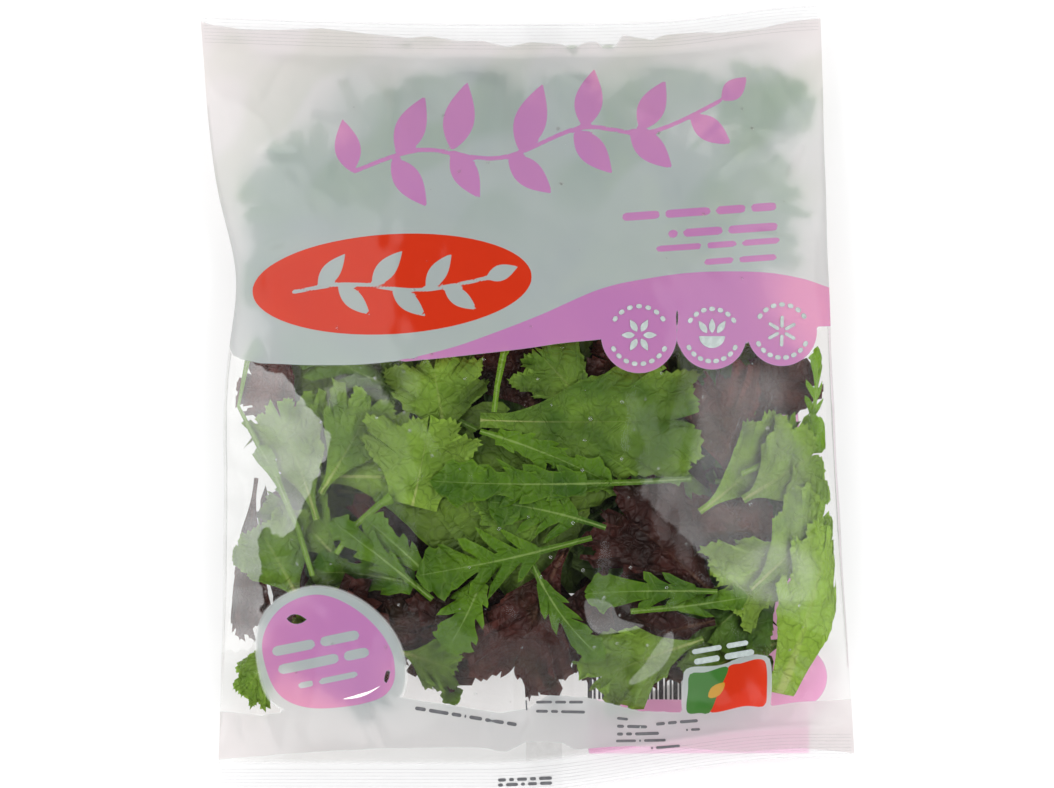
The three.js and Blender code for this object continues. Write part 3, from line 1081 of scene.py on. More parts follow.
def leaf_skin(name, colours, side_veins, veined, rib_end, gloss, crinkle=1.0, blush=None):
    """A leaf's skin: paler rib, branching veins, a fine net between them, waxy gloss, light let through, a
    painted highlight along the margins and painted shade on leaves that lie deep under the film.
    """
    material = new_material(name)
    tree = material.node_tree
    along, edge, rib, tone = [attribute(tree, a) for a in ("along", "edge", "rib", "tone")]
    place = add(tree, "ShaderNodeUVMap", uv_map="leaf").outputs[0]
    cloudy = noise(tree, place, 6.0, 4.0)
    drift_sockets = {"Vector": place, "Scale": 11.0, "Detail": 2.0}
    drift = add(tree, "ShaderNodeTexNoise", drift_sockets, noise_dimensions="2D")
    drifted = {0: drift.outputs["Color"], 1: VEIN_DRIFT, 2: place}
    bent = add(tree, "ShaderNodeVectorMath", drifted, operation="MULTIPLY_ADD").outputs[0]
    cells, net = [cell_walls(tree, bent, scale) for scale in (CELLS, NET)]
    branch = step(tree, cells, 0.0, 0.03, 1.0, 0.0)
    fine_vein = step(tree, net, 0.0, 0.08, 1.0, 0.0)
    beat = sums(tree, "MULTIPLY_ADD", along, SIDE_VEINS, sums(tree, "MULTIPLY_ADD", cloudy, 1.6, -0.8))
    saw = sums(tree, "ABSOLUTE", sums(tree, "SUBTRACT", sums(tree, "FRACT", beat), 0.5))
    side_vein = sums(tree, "MULTIPLY", step(tree, saw, 0.02, 0.08, 1.0, 0.0), side_veins)
    midrib = sums(tree, "MULTIPLY", step(tree, rib, 0.3, 0.75), step(tree, along, 0.1, rib_end, 0.75, 0.2))
    lightness = sums(tree, "ADD", tone, sums(tree, "MULTIPLY_ADD", cloudy, 1.1, -0.55))
    # The margins are painted lighter: a painted highlight where the thin edges catch the light.
    lightness = sums(tree, "MULTIPLY_ADD", step(tree, edge, 0.8, 1.0), 0.28, lightness)
    blade = blend_colour(tree, step(tree, lightness, -0.2, 1.4), colours["dark"], colours["light"])
    if blush is not None:
        blushed = step(tree, noise(tree, place, 4.0, 2.0), 0.5, 0.72, 0.0, 0.6)
        blade = blend_colour(tree, blushed, blade, blush)
    net_hue = sums(tree, "MULTIPLY", fine_vein, NET_HUE * veined)
    colour = blend_colour(tree, net_hue, blade, colours["vein"])
    cell_hue = sums(tree, "MULTIPLY", branch, CELL_HUE * veined)
    colour = blend_colour(tree, cell_hue, colour, colours["vein"])
    colour = blend_colour(tree, side_vein, colour, colours["vein"])
    colour = blend_colour(tree, midrib, colour, colours["rib"])
    # Painted shade: the deeper a leaf lies under the film, from 1 to 13 mm, the darker it is painted.
    painted_depth_shade = step(tree, attribute(tree, "buried"), 1.0, 13.0, 0.0, DEEPEST_SHADE)
    colour = blend_colour(tree, painted_depth_shade, colour, BURIED_SHADE)
    quilt = sums(tree, "MULTIPLY_ADD", step(tree, cells, 0.0, 0.3), 1.6, step(tree, net, 0.0, 0.3))
    quilt = sums(tree, "MULTIPLY", quilt, 0.5)
    bump_sockets = {"Height": quilt, "Strength": 0.9, "Distance": QUILT_DEPTH * MM * crinkle}
    bump = add(tree, "ShaderNodeBump", bump_sockets).outputs[0]
    skin = add(tree, "ShaderNodeBsdfPrincipled", {
        "Base Color": colour, "Roughness": gloss, "Specular IOR Level": 0.26, "Normal": bump,
    })
    shine = blend_colour(tree, SHINE_SHARE, colour, colours["shine"])
    # The light let through is darkened with the same painted shade.
    shine = blend_colour(tree, painted_depth_shade, shine, BURIED_SHADE)
    through = add(tree, "ShaderNodeBsdfTranslucent", {"Color": shine, "Normal": bump})
    both = add(tree, "ShaderNodeMixShader", {0: LIGHT_THROUGH, 1: skin.outputs[0], 2: through.outputs[0]})
    finish_material(tree, both.outputs[0])
    return material


PILES = (front_pile, back_pile)
rocket_skin = leaf_skin("rocket_leaf", ROCKETS, **ROCKET_SKIN)
green_skin = leaf_skin("green_lettuce", GREENS, **GREEN_SKIN)
red_skin = leaf_skin("red_lettuce", REDS, **RED_SKIN)
rocket_leaves = heap("rocket_leaves", "rocket", PILES, rocket_skin)
green_leaves = heap("green_lettuce_leaves", "green", PILES, green_skin)
red_leaves = heap("red_lettuce_leaves", "red", PILES, red_skin)
for leaves in (rocket_leaves, green_leaves, red_leaves):
    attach(leaves, "root")
    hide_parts("salad_bag")

# The film and its print
# The tube is clear film 0.04 mm thick, drawn as one closed skin of a front, a back and their shared edge.
# Frosting and inks are printed on it before it is folded. Each is a field, known by the depth inside it.
FILM_COLUMNS = 176
FILM_ROWS = 212
CURVE_STEPS = 7
INKS = {  # the colour that it throws back, the colour that comes through it, and how much it covers
    "frost": ((0.56, 0.645, 0.65, 1), (1.0, 0.80, 0.79, 1), 0.93),
    "lilac": ((0.70, 0.28, 0.65, 1), (1.0, 0.45, 0.20, 1), 0.97),
    "pink": ((0.84, 0.36, 0.64, 1), (1.0, 0.47, 0.76, 1), 0.88),
    "white": ((0.90, 0.88, 0.87, 1), (0.80, 0.78, 0.77, 1), 0.9),
    "red": ((0.88, 0.045, 0.012, 1), (0.90, 0.12, 0.05, 1), 0.98),
    "green": ((0.07, 0.24, 0.045, 1), (0.10, 0.34, 0.08, 1), 0.98),
    "yellow": ((0.80, 0.42, 0.05, 1), (0.80, 0.45, 0.08, 1), 0.98),
}
FROST_SHADOW = (0.47, 0.58, 0.54, 1)
BLOT_SIZE = 38.0
BLOT_EDGE = (-0.3, 0.6)
BLOTTED_FROM = (50.0, 100.0)
BLOT_SEED = 8
GLEAM_SHARE = 0.38
GLEAM_ROUGHNESS = 0.14
MIST_HAZE = 0.22
THIN_SHARE = 0.36
WET_SHARE = 0.6
MIST_EDGE_WAVE = 0.8
FILM_IOR = 1.45
INK_EDGE = 0.12
MIST_PATCH = 18.0
THINNEST, THICKEST = 0.78, 1.12
MIST_RIM = 4.0
MIST_EDGE = (-0.3, 0.5)
THIN_EDGE = (-0.6, 0.8)
WET_EDGE = (-0.2, 0.5)
PRINTED_HAZE = (1.2 * MIST_HAZE, 0.8)
LET_THROUGH = (0.2, 0.55)
MIST_SEED = 3
SOFT_RIM = 0.12
SOFT_SHARE = 0.65
CRIMP_HAZE = 0.35
HAZE_COLOUR = (0.98, 0.98, 0.98, 1)
CLEAR_COLOUR = (0.97, 0.97, 0.965, 1)
CRIMPED_COLOUR = (0.91, 0.91, 0.915, 1)
BACK_PLANE = 4.0


def smooth_loop(points, closed=True):
    """A curve through given points, closed or open."""
    points = np.asarray(points, float)
    if closed:
        around = np.concatenate([points[-1:], points, points[:2]])
    else:
        around = np.concatenate([points[:1], points, points[-1:]])
    share = np.arange(CURVE_STEPS)[:, None] / CURVE_STEPS
    pieces = []
    for a, b, c, d in zip(around, around[1:], around[2:], around[3:]):
        pieces.append(0.5 * (2 * b + (c - a) * share + (2 * a - 5 * b + 4 * c - d) * share ** 2
                             + (3 * b - a - 3 * c + d) * share ** 3))
    if not closed:
        pieces.append(points[-1:])
    return np.concatenate(pieces)


def turned(x, y, px, py, turn):
    """Pixel places of x to the right and y up, turned anticlockwise as seen and moved to px, py."""
    right = px + x * math.cos(turn) - y * math.sin(turn)
    down = py - x * math.sin(turn) - y * math.cos(turn)
    return np.stack([right, down], 1)


def ellipse(px, py, half_width, half_height, turn=0.0, count=40):
    angle = np.linspace(0, 2 * np.pi, count, endpoint=False)
    return turned(half_width * np.cos(angle), half_height * np.sin(angle), px, py, turn)


def leaf_shape(px, py, length, width, turn, count=13):
    """A pointed oval from its stalk end at px, py."""
    along = np.linspace(0, 1, count)
    half = width / 2 * np.sin(np.pi * along ** 0.85)
    x = np.concatenate([along, along[::-1][1:-1]]) * length
    return turned(x, np.concatenate([half, -half[::-1][1:-1]]), px, py, turn)


def bar(px, py, length, height, turn=0.0, count=7):
    """A strip with round ends that starts at px, py."""
    angle = np.linspace(0, math.pi, count)
    r = height / 2
    x = np.concatenate([length - r + r * np.sin(angle), r - r * np.sin(angle)])
    return turned(x, np.concatenate([r * np.cos(angle), -r * np.cos(angle)]), px, py, turn)


def row_of_bars(px, py, lengths, height, turn=0.0, gap=5.0):
    """Bars in a row, of those lengths and one height."""
    bars = []
    for length in lengths:
        bars.append(bar(px, py, length, height, turn))
        px, py = px + (length + gap) * math.cos(turn), py - (length + gap) * math.sin(turn)
    return bars


def printed_lines(rows, turn):
    """Bars for each row of a place, the lengths of its bars and their height."""
    return [strip for px, py, lengths, high in rows for strip in row_of_bars(px, py, lengths, high, turn)]


def thickened(line, width):
    """A closed strip of that height along an open line."""
    half = (0, width / 2)
    return np.concatenate([line + half, line[::-1] - half])


def ring_of_bars(px, py, radius, first, last, count, length, height):
    """Short bars along a circle between two angles."""
    bars = []
    for angle in np.linspace(first, last, count):
        x, y = px + radius * math.cos(angle), py - radius * math.sin(angle)
        way = angle - math.pi / 2
        start = (x - length / 2 * math.cos(way), y + length / 2 * math.sin(way))
        bars.append(bar(*start, length, height, way))
    return bars


def field(outlines, x, y, back=False):
    """The depth inside any of some outlines that are given by the photograph's pixels."""
    depths = []
    for outline in outlines:
        px, py = np.asarray(outline, float).T
        placed = on_photo(px, py, BACK_PLANE) if back else on_film(px, py)
        depths.append(depth_inside(np.stack(placed, 1), x, y))
    return np.maximum.reduce(depths)


FROST_TOP = [
    (180, 14), (208, 24), (240, 29), (280, 30), (320, 28), (362, 33), (409, 38), (428, 36),
    (458, 41), (483, 41), (507, 47), (530, 42), (560, 44), (572, 49), (586, 42), (597, 42),
    (603, 48), (615, 48), (622, 35), (652, 40), (664, 35), (700, 32), (718, 33), (758, 29),
    (793, 21), (822, 18), (860, 14),
]
FROST_FOOT = [
    (880, 290), (838, 292), (825, 287), (800, 279), (760, 273), (700, 273), (650, 279), (600, 290),
    (540, 316), (480, 339), (450, 349), (410, 359), (378, 363), (345, 365), (305, 365), (262, 363),
    (244, 360), (233, 355), (228, 342), (180, 335),
]
WAVE = [
    (378, 363), (410, 358), (450, 348), (480, 338), (540, 315), (600, 289), (650, 278), (700, 272),
    (760, 272), (800, 278), (825, 286), (838, 290), (860, 292), (860, 326), (834, 326), (800, 327),
    (745, 327), (712, 327), (678, 327), (640, 333), (602, 339), (562, 343), (520, 349), (450, 357),
    (409, 361),
]
DISCS = [(639, 335, 38), (712, 335, 34.5), (782, 331, 35)]
DISC_NOTCHES = [(677.3, 318, 1.3, 9), (746.8, 318, 1.3, 9)]
BOTTOM_FROST = [
    (180, 712), (232, 712), (262, 716), (330, 704), (395, 697), (440, 704), (500, 713), (530, 708),
    (548, 695), (590, 698), (640, 711), (700, 714), (750, 709), (800, 702), (848, 699), (890, 700),
    (890, 762), (846, 752), (800, 748), (740, 752), (690, 748), (620, 746), (575, 749), (562, 742),
    (526, 741), (505, 752), (488, 748), (450, 747), (380, 748), (310, 752), (262, 756), (180, 762),
]
LABEL = ellipse(392, 284, 140, 50, 0.06, 60)
LABEL_RIM = ellipse(392, 284, 144, 54, 0.06, 60)
LABEL_STEM_WIDTH = 4.0
LABEL_STEM = [(292, 292), (350, 284), (420, 290), (496, 276)]
LABEL_LEAVES = [
    (318, 288, 44, 18, 0.9), (338, 285, 44, 18, -0.75), (372, 285, 46, 19, 0.85),
    (392, 288, 44, 18, -0.7), (426, 289, 44, 18, 0.95), (444, 287, 40, 17, -0.6),
    (486, 278, 34, 16, 0.35),
]
PEBBLE_RIM = [
    (256, 648), (260, 621), (277, 600), (304, 588), (331, 588), (360, 600), (384, 620), (400, 645),
    (406, 672), (402, 695), (385, 709), (352, 714), (310, 716), (280, 708), (264, 689),
]
PEBBLE = [
    (262, 649), (267, 626), (282, 607), (305, 596), (328, 596), (354, 608), (377, 628), (391, 650),
    (395, 672), (391, 688), (378, 699), (350, 706), (312, 708), (286, 700), (271, 682),
]
PEBBLE_LINES = [(272, 652, (44, 40), 10), (278, 670, (62, 26), 10), (298, 686, (16, 40), 6)]
PEBBLE_LINE_TURN = 0.2
PEBBLE_WINDOWS = [leaf_shape(286, 618, 22, 10, -0.1), ellipse(387, 676, 2.4, 8, -0.25)]
PATCH_RIM = [
    (688, 668), (720, 665), (742, 657), (762, 655), (771, 664), (771, 700), (764, 714), (735, 712),
    (712, 716), (690, 718), (682, 708), (683, 680),
]
PATCH_GREEN = [
    (690, 674), (706, 672), (728, 667), (719, 690), (710, 712), (700, 713), (687, 712), (688, 690),
]
PATCH_RED = [
    (728, 667), (742, 663), (758, 659), (766, 664), (767, 690), (764, 706), (744, 706), (710, 712),
    (719, 690),
]
PATCH_SPOTS = [leaf_shape(708, 698, 24, 11, 0.75)]
PATCH_LINES = [(692, 652, (30, 22), 5), (694, 662, (26, 30), 6)]
PATCH_LINE_TURN = 0.17
GARLAND_STEM_WIDTH = 4.4
GARLAND_STEM = [(352, 172), (420, 150), (500, 158), (580, 128), (650, 132), (722, 100)]
GARLAND_LEAVES = [
    (352, 172, 54, 26, 1.75), (392, 158, 60, 27, -0.95), (398, 156, 66, 30, 1.15),
    (452, 150, 56, 26, -1.05), (452, 150, 70, 31, 1.35), (508, 156, 58, 27, -0.7),
    (520, 152, 72, 32, 1.25), (574, 130, 58, 27, -0.85), (584, 128, 60, 28, 1.4),
    (630, 129, 58, 27, -0.75), (640, 130, 56, 27, 1.1), (690, 116, 50, 24, -0.6),
    (722, 100, 34, 20, 0.75),
]
SMALL_LINES = [(622, 217, (38, 46, 30, 26), 8), (668, 234, (10, 40, 50), 8), (656, 249, (46, 30, 38), 6),
               (704, 262, (30, 38), 6)]
SMALL_LINE_TURN = 0.07
BACK_PANEL = [(588, 338), (790, 338), (802, 470), (796, 640), (808, 645), (808, 752), (588, 752)]
BACK_LABEL = [(585, 622), (738, 622), (738, 700), (585, 700)]
BACK_DISC = (795, 676, 31)
MIST_LEFT = [
    (214, 356), (262, 368), (284, 376), (300, 398), (318, 416), (330, 436), (327, 456), (316, 480),
    (306, 500), (296, 524), (284, 536), (266, 528), (258, 540), (262, 580), (258, 640), (232, 652),
    (206, 640), (206, 520),
]
MIST_ARC = [
    (326, 392), (338, 376), (352, 372), (372, 380), (388, 398), (380, 402), (360, 388), (344, 392),
    (330, 408),
]
THIN_MIST = [
    (640, 492), (652, 480), (700, 476), (740, 500), (780, 530), (806, 560), (812, 590), (786, 604),
    (752, 594), (722, 580), (704, 560), (670, 522),
]
FADED_MIST = [
    (706, 372), (745, 368), (784, 378), (782, 410), (796, 440), (808, 470), (808, 520), (800, 560),
    (760, 560), (720, 540), (700, 500), (694, 470), (696, 430), (690, 400),
]
SOFT_MIST = [
    (736, 556), (770, 540), (800, 545), (816, 570), (808, 600), (780, 606), (752, 596), (724, 580),
]
WET_PATCHES = [
    [(584, 602), (594, 598), (612, 604), (620, 618), (646, 626), (622, 632), (600, 634), (588, 624)],
    [(668, 632), (674, 634), (672, 652), (660, 670), (636, 684), (628, 682), (644, 664), (656, 646)],
]


def film_skin():
    """The closed skin's points and quads, with the inks' depths at the points of the front and the back."""
    u, v = np.meshgrid(np.linspace(0, 1, FILM_COLUMNS + 1), np.linspace(0, 1, FILM_ROWS + 1))
    x, y = flat_place(u, v)
    front = np.stack([x, y, front_film(u, v)], -1).reshape(-1, 3)
    under = np.minimum(back_film(u, v), front_film(u, v) - SEAL_THICKNESS)
    back = np.stack([x, y, under], -1).reshape(-1, 3)
    count = len(front)
    index = np.arange(count).reshape(u.shape)
    quads = np.stack([index[:-1, :-1], index[:-1, 1:], index[1:, 1:], index[1:, :-1]], -1).reshape(-1, 4)
    loop = np.concatenate([index[0, :-1], index[:-1, -1], index[-1, :0:-1], index[:0:-1, 0]])
    after = np.roll(loop, -1)
    rim = np.stack([loop, loop + count, after + count, after], -1)
    faces = np.concatenate([quads, quads[:, ::-1] + count, rim])
    return np.concatenate([front, back]), faces, front_inks(x, y), back_inks(x, y), (u, v)


def leaf_shadow(x, y):
    """How much leaves that touch the frosting darken it, in blots near the top end where the heap thins."""
    blots = ramp(random_waves(np.random.default_rng(BLOT_SEED), BLOT_SIZE)(x, y), *BLOT_EDGE)
    return blots * ramp(y, *BLOTTED_FROM)


def front_inks(x, y):
    stem = smooth_loop(GARLAND_STEM, closed=False)
    garland = [leaf_shape(*leaf) for leaf in GARLAND_LEAVES] + [thickened(stem, GARLAND_STEM_WIDTH)]
    lines = printed_lines(SMALL_LINES, SMALL_LINE_TURN)
    discs = [ellipse(px, py, r, r) for px, py, r in DISCS]
    notches = field([ellipse(*notch) for notch in DISC_NOTCHES], x, y)
    wave = np.minimum(field([smooth_loop(WAVE)] + discs, x, y), -notches)
    frost = field([np.array(FROST_TOP + FROST_FOOT)], x, y)
    rims = field([LABEL_RIM, smooth_loop(PATCH_RIM)], x, y)
    soft_rim = SOFT_RIM * field([smooth_loop(PEBBLE_RIM)], x, y)
    under_discs = field(discs, x, y) - 0.7
    windows = field(PEBBLE_WINDOWS, x, y)
    left_bare = field(printed_lines(PEBBLE_LINES, PEBBLE_LINE_TURN) + PEBBLE_WINDOWS, x, y)
    pebble = np.minimum(field([smooth_loop(PEBBLE)], x, y), -left_bare)
    label_stem = smooth_loop(LABEL_STEM, closed=False)
    label_mark = [leaf_shape(*leaf) for leaf in LABEL_LEAVES]
    label_mark.append(thickened(label_stem, LABEL_STEM_WIDTH))
    label = np.minimum(field([LABEL], x, y), -field(label_mark, x, y))
    rng = np.random.default_rng(MIST_SEED)
    ragged = MIST_EDGE_WAVE * random_waves(rng, 6)(x, y)
    soft = SOFT_SHARE * ramp(field([smooth_loop(SOFT_MIST)], x, y), -MIST_RIM, MIST_RIM)
    faded = THIN_SHARE * ramp(field([smooth_loop(FADED_MIST)], x, y), -MIST_RIM, MIST_RIM)
    thin_mist = field([smooth_loop(THIN_MIST), smooth_loop(MIST_ARC)], x, y)
    all_frost = [frost, field([np.array(BOTTOM_FROST)], x, y), rims, soft_rim, under_discs]
    return {
        "frost": np.minimum(np.maximum.reduce(all_frost), -windows),
        "lilac": np.maximum.reduce([wave, field(garland + lines, x, y), pebble]),
        "red": np.maximum(label, field([smooth_loop(PATCH_RED)], x, y)),
        "green": field([smooth_loop(PATCH_GREEN)], x, y),
        "yellow": field(PATCH_SPOTS, x, y),
        "pink": np.full(x.shape, FAR_OUTSIDE),
        "white": np.full(x.shape, FAR_OUTSIDE),
        "mist": field([smooth_loop(MIST_LEFT)], x, y) + ragged,
        "wet": field([smooth_loop(patch) for patch in WET_PATCHES], x, y),
        "thin_mist": thin_mist + ragged,
        "soft_mist": np.maximum(soft, faded),
        "mist_drift": THINNEST + (THICKEST - THINNEST) * ramp(random_waves(rng, MIST_PATCH)(x, y), -1, 1),
        "leaf_shadow": leaf_shadow(x, y),
    }


def back_inks(x, y):
    front_only = ("frost", "lilac", "red", "green", "yellow", "mist", "thin_mist", "wet")
    print_fields = {ink: np.full(x.shape, FAR_OUTSIDE) for ink in front_only}
    print_fields.update({share: np.zeros(x.shape) for share in ("soft_mist", "mist_drift", "leaf_shadow")})
    px, py, radius = BACK_DISC
    disc = ellipse(px, py, radius, radius)
    print_fields["pink"] = field([BACK_PANEL, disc], x, y, back=True)
    print_fields["white"] = field([BACK_LABEL], x, y, back=True)
    return print_fields


def film_material():
    """Clear film with a soft gloss; where it is frosted, inked or misted it scatters the light instead."""
    material = new_material("printed_film")
    tree = material.node_tree
    thin = step(tree, attribute(tree, "thin_mist"), *THIN_EDGE, 0.0, THIN_SHARE)
    wet = step(tree, attribute(tree, "wet"), *WET_EDGE, 0.0, WET_SHARE)
    mist = sums(tree, "MAXIMUM", thin, step(tree, attribute(tree, "mist"), *MIST_EDGE))
    mist = sums(tree, "MAXIMUM", mist, sums(tree, "MAXIMUM", attribute(tree, "soft_mist"), wet))
    mist = sums(tree, "MULTIPLY", mist, attribute(tree, "mist_drift"))
    thrown, passed = HAZE_COLOUR, HAZE_COLOUR
    haze = sums(tree, "MULTIPLY", mist, MIST_HAZE)
    haze = sums(tree, "MAXIMUM", haze, sums(tree, "MULTIPLY", attribute(tree, "crimp"), CRIMP_HAZE))
    for ink, (near_colour, through_colour, cover) in INKS.items():
        share = step(tree, attribute(tree, ink), -INK_EDGE, INK_EDGE)
        if ink == "frost":
            near_colour = blend_colour(tree, attribute(tree, "leaf_shadow"), near_colour, FROST_SHADOW)
        thrown = blend_colour(tree, share, thrown, near_colour)
        passed = blend_colour(tree, share, passed, through_colour)
        haze = sums(tree, "MAXIMUM", haze, sums(tree, "MULTIPLY", share, cover))
    clearness = blend_colour(tree, attribute(tree, "crimp"), CLEAR_COLOUR, CRIMPED_COLOUR)
    clear = add(tree, "ShaderNodeBsdfTransparent", {"Color": clearness})
    near = add(tree, "ShaderNodeBsdfDiffuse", {"Color": thrown})
    through = add(tree, "ShaderNodeBsdfTranslucent", {"Color": passed})
    frosted = step(tree, haze, *PRINTED_HAZE, *LET_THROUGH)
    ink = add(tree, "ShaderNodeMixShader", {0: frosted, 1: near.outputs[0], 2: through.outputs[0]})
    body = add(tree, "ShaderNodeMixShader", {0: haze, 1: clear.outputs[0], 2: ink.outputs[0]})
    gleam = add(tree, "ShaderNodeBsdfGlossy", {"Color": (1, 1, 1, 1), "Roughness": GLEAM_ROUGHNESS})
    fresnel = add(tree, "ShaderNodeFresnel", {"IOR": FILM_IOR}).outputs[0]
    fresnel = sums(tree, "MULTIPLY", fresnel, GLEAM_SHARE)
    surface = add(tree, "ShaderNodeMixShader", {0: fresnel, 1: body.outputs[0], 2: gleam.outputs[0]})
    finish_material(tree, surface.outputs[0])
    return material


points, faces, front_print, back_print, (film_u, film_v) = film_skin()
inks = {ink: np.concatenate([front_print[ink].ravel(), back_print[ink].ravel()]) for ink in front_print}
seal_part = 1 - ramp(np.minimum(film_v, 1 - film_v), SEAL_SHARE * 0.85, SEAL_SHARE * 1.05)
inks["crimp"] = np.concatenate([seal_part.ravel(), seal_part.ravel()])
film = mesh_object("film", points, faces, film_material(), inks)
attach(film, "root")
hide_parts("salad_bag")

# The small marks
# Fine signs and lines are printed last, in thick white or dark ink, each a thin slab that lies on the film.
# Each of the three discs holds a sign, and rows of short dashes run along the bottom band.
INK_THICKNESS = 0.12
INK_LIFT = 0.08
INK_GRID = 1.3
PALE_INK = srgb(150, 160, 158)
DARK_INK = srgb(78, 78, 82)
WHITE_INK = srgb(250, 240, 246)
DISC_RING = 0.76
DASH_GAP = 3
DARK_LINES = [  # pixel, lengths of the dashes, their height and their turn
    (415, 708, (11, 20, 10, 2, 13, 19, 10), 3.6, -0.16),
    (536, 702, (16, 11, 14), 2.6, 0.0),
    (536, 711, (12, 7, 24), 2.8, -0.02),
    (526, 700, (10,), 1.5, -1.5),
    (617, 718, (11,), 2.6, -0.1),
    (617, 726, (7, 20), 3.0, -0.02),
    (656, 724, (9, 9, 18), 3.0, 0.08),
    (617, 734, (6, 6, 24), 3.0, 0.02),
    (616, 741, (20, 2, 22), 2.6, 0.02),
    (651, 748, (2, 24), 2.6, 0.08),
    (686, 730, (2, 9), 2.4, 0.06),
    (498, 780, (8, 5, 10, 6, 13), 3.2, 0.04),
    (498, 785, (5, 12, 4, 9, 12), 3.2, 0.04),
]
HIGHLIGHT = [(343, 699), (356, 698), (368, 694), (380, 686), (369, 691), (356, 695)]
CODE_BARS = {"left": 590, "right": 690, "top": 668, "bottom": 700, "count": 22, "thin": 1.1, "thick": 2.2}


def disc_signs():
    """A rosette of leaves, a sprout in a bowl and a six-armed star, each in a ring of dashes."""
    (ax, ay, _), (bx, by, _), (cx, cy, _) = DISCS
    sixths = np.arange(6) * math.pi / 3
    signs = [leaf_shape(ax + 4 * math.cos(a), ay - 4 * math.sin(a), 14, 6.5, a) for a in sixths]
    bowl = np.linspace(math.pi, 2 * math.pi, 15)
    signs.append(turned(13 * np.cos(bowl), 12 * np.sin(bowl), bx, by + 1, 0))
    sprouts = ((-5, 0.6), (0, 0), (5, -0.6))
    signs += [leaf_shape(bx + shift, by - 2, 15, 6.5, math.pi / 2 + lean) for shift, lean in sprouts]
    signs += [bar(cx + 3.5 * math.cos(a), cy - 3.5 * math.sin(a), 12, 3.4, a) for a in sixths + 0.5]
    for px, py, radius in DISCS:
        signs += ring_of_bars(px, py, radius * DISC_RING, 0.6, math.pi - 0.6, 7, 6, 4.5)
        signs += ring_of_bars(px, py, radius * DISC_RING, math.pi + 0.5, 2 * math.pi - 0.5, 8, 6, 4.5)
    return signs


def code_bars():
    """Plain upright bars of two widths."""
    places = np.linspace(CODE_BARS["left"], CODE_BARS["right"], CODE_BARS["count"])
    boxes = []
    for i, px in enumerate(places):
        half = CODE_BARS["thin"] if i % 3 else CODE_BARS["thick"]
        top, bottom = CODE_BARS["top"], CODE_BARS["bottom"]
        boxes.append([(px - half, top), (px + half, top), (px + half, bottom), (px - half, bottom)])
    return boxes


def ink_slabs(outlines, back=False):
    """Points and triangles of closed slabs of ink over each outline, draped on the film."""
    all_points, all_faces, start = [], [], 0
    for outline in outlines:
        px, py = np.asarray(outline, float).T
        rim = np.stack(on_photo(px, py, BACK_PLANE) if back else on_film(px, py), 1)
        low, high = rim.min(0), rim.max(0)
        steps = [np.arange(a, b, INK_GRID) for a, b in zip(low, high)]
        x, y = [side.ravel() for side in np.meshgrid(*steps)]
        inner = np.stack([x, y], 1)[depth_inside(rim, x, y) > INK_GRID / 3]
        flat = [Vector(p) for p in np.concatenate([rim, inner])]
        rim_edges = [(i, (i + 1) % len(rim)) for i in range(len(rim))]
        flat, _, triangles, *_ = delaunay_2d_cdt(flat, rim_edges, [], 1, 1e-5)
        x, y = np.array([tuple(p) for p in flat]).T
        u, v = [np.clip(share, 0, 1) for share in film_shares(x, y)]
        under = (back_film(u, v) if back else front_film(u, v)) + INK_LIFT
        count = len(x)
        upper = np.array(triangles)
        way = np.concatenate([upper[:, [0, 1]], upper[:, [1, 2]], upper[:, [2, 0]]])
        sides = {(a, b) for a, b in way.tolist()}
        open_sides = np.array([(a, b) for a, b in sides if (b, a) not in sides])
        a, b = open_sides.T
        walls = np.concatenate([np.stack([a, a + count, b + count], 1), np.stack([a, b + count, b], 1)])
        faces = np.concatenate([upper, upper[:, ::-1] + count, walls])
        all_points += [np.stack([x, y, under + INK_THICKNESS], 1), np.stack([x, y, under], 1)]
        all_faces.append(faces + start)
        start += 2 * count
    return np.concatenate(all_points), np.concatenate(all_faces)


def ink_material(name, colour):
    """Matt ink that varies a little in strength."""
    material = new_material(name)
    tree = material.node_tree
    place = add(tree, "ShaderNodeTexCoord").outputs["Object"]
    faded = tuple(min(1, c * 1.35 + 0.02) for c in colour[:3]) + (1,)
    mottled = blend_colour(tree, step(tree, noise(tree, place, 500.0), 0.4, 0.75, 0.0, 0.6), colour, faded)
    skin = add(tree, "ShaderNodeBsdfPrincipled", {"Base Color": mottled, "Roughness": 0.5})
    finish_material(tree, skin.outputs[0])
    return material


dark_dashes = [
    dash for px, py, lengths, high, turn in DARK_LINES
    for dash in row_of_bars(px, py, lengths, high, turn, DASH_GAP)
]
SMALL_MARKS = {
    "pale_marks": (disc_signs(), False, PALE_INK),
    "dark_marks": (dark_dashes, False, DARK_INK),
    "white_marks": ([smooth_loop(HIGHLIGHT)], False, WHITE_INK),
    "code_bars": (code_bars(), True, DARK_INK),
    "patch_lines": (printed_lines(PATCH_LINES, PATCH_LINE_TURN), False, PALE_INK),
}
for mark_name, (outlines, on_back, colour) in SMALL_MARKS.items():
    mark_points, mark_faces = ink_slabs(outlines, on_back)
    marks = mesh_object(mark_name, mark_points, mark_faces, ink_material(mark_name + "_ink", colour))
    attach(marks, "root")

# The seals
# Both ends are pressed shut between hot ribbed jaws, which leave fine ridges across them. The tube is closed
# by a fin seal: the film's two long edges are welded together and folded flat against the back.
RIB_COUNT = 8
RIB_STEPS = 72
RIB_RADIUS = 0.11
RIBBED_SHARE = 0.8
FIN_ROWS = 130
FIN_COLUMNS = 6


def node_group(name, sizes):
    """A geometry node tree with those named sizes, its input node, and the sizes' socket identifiers."""
    tree = bpy.data.node_groups.new(name, "GeometryNodeTree")
    tree.interface.new_socket(name="Geometry", in_out="INPUT", socket_type="NodeSocketGeometry")
    tree.interface.new_socket(name="Geometry", in_out="OUTPUT", socket_type="NodeSocketGeometry")
    sockets = {}
    for label, value in sizes.items():
        kind = "NodeSocketInt" if isinstance(value, int) else "NodeSocketFloat"
        sockets[label] = tree.interface.new_socket(name=label, in_out="INPUT", socket_type=kind).identifier
    return tree, add(tree, "NodeGroupInput"), sockets


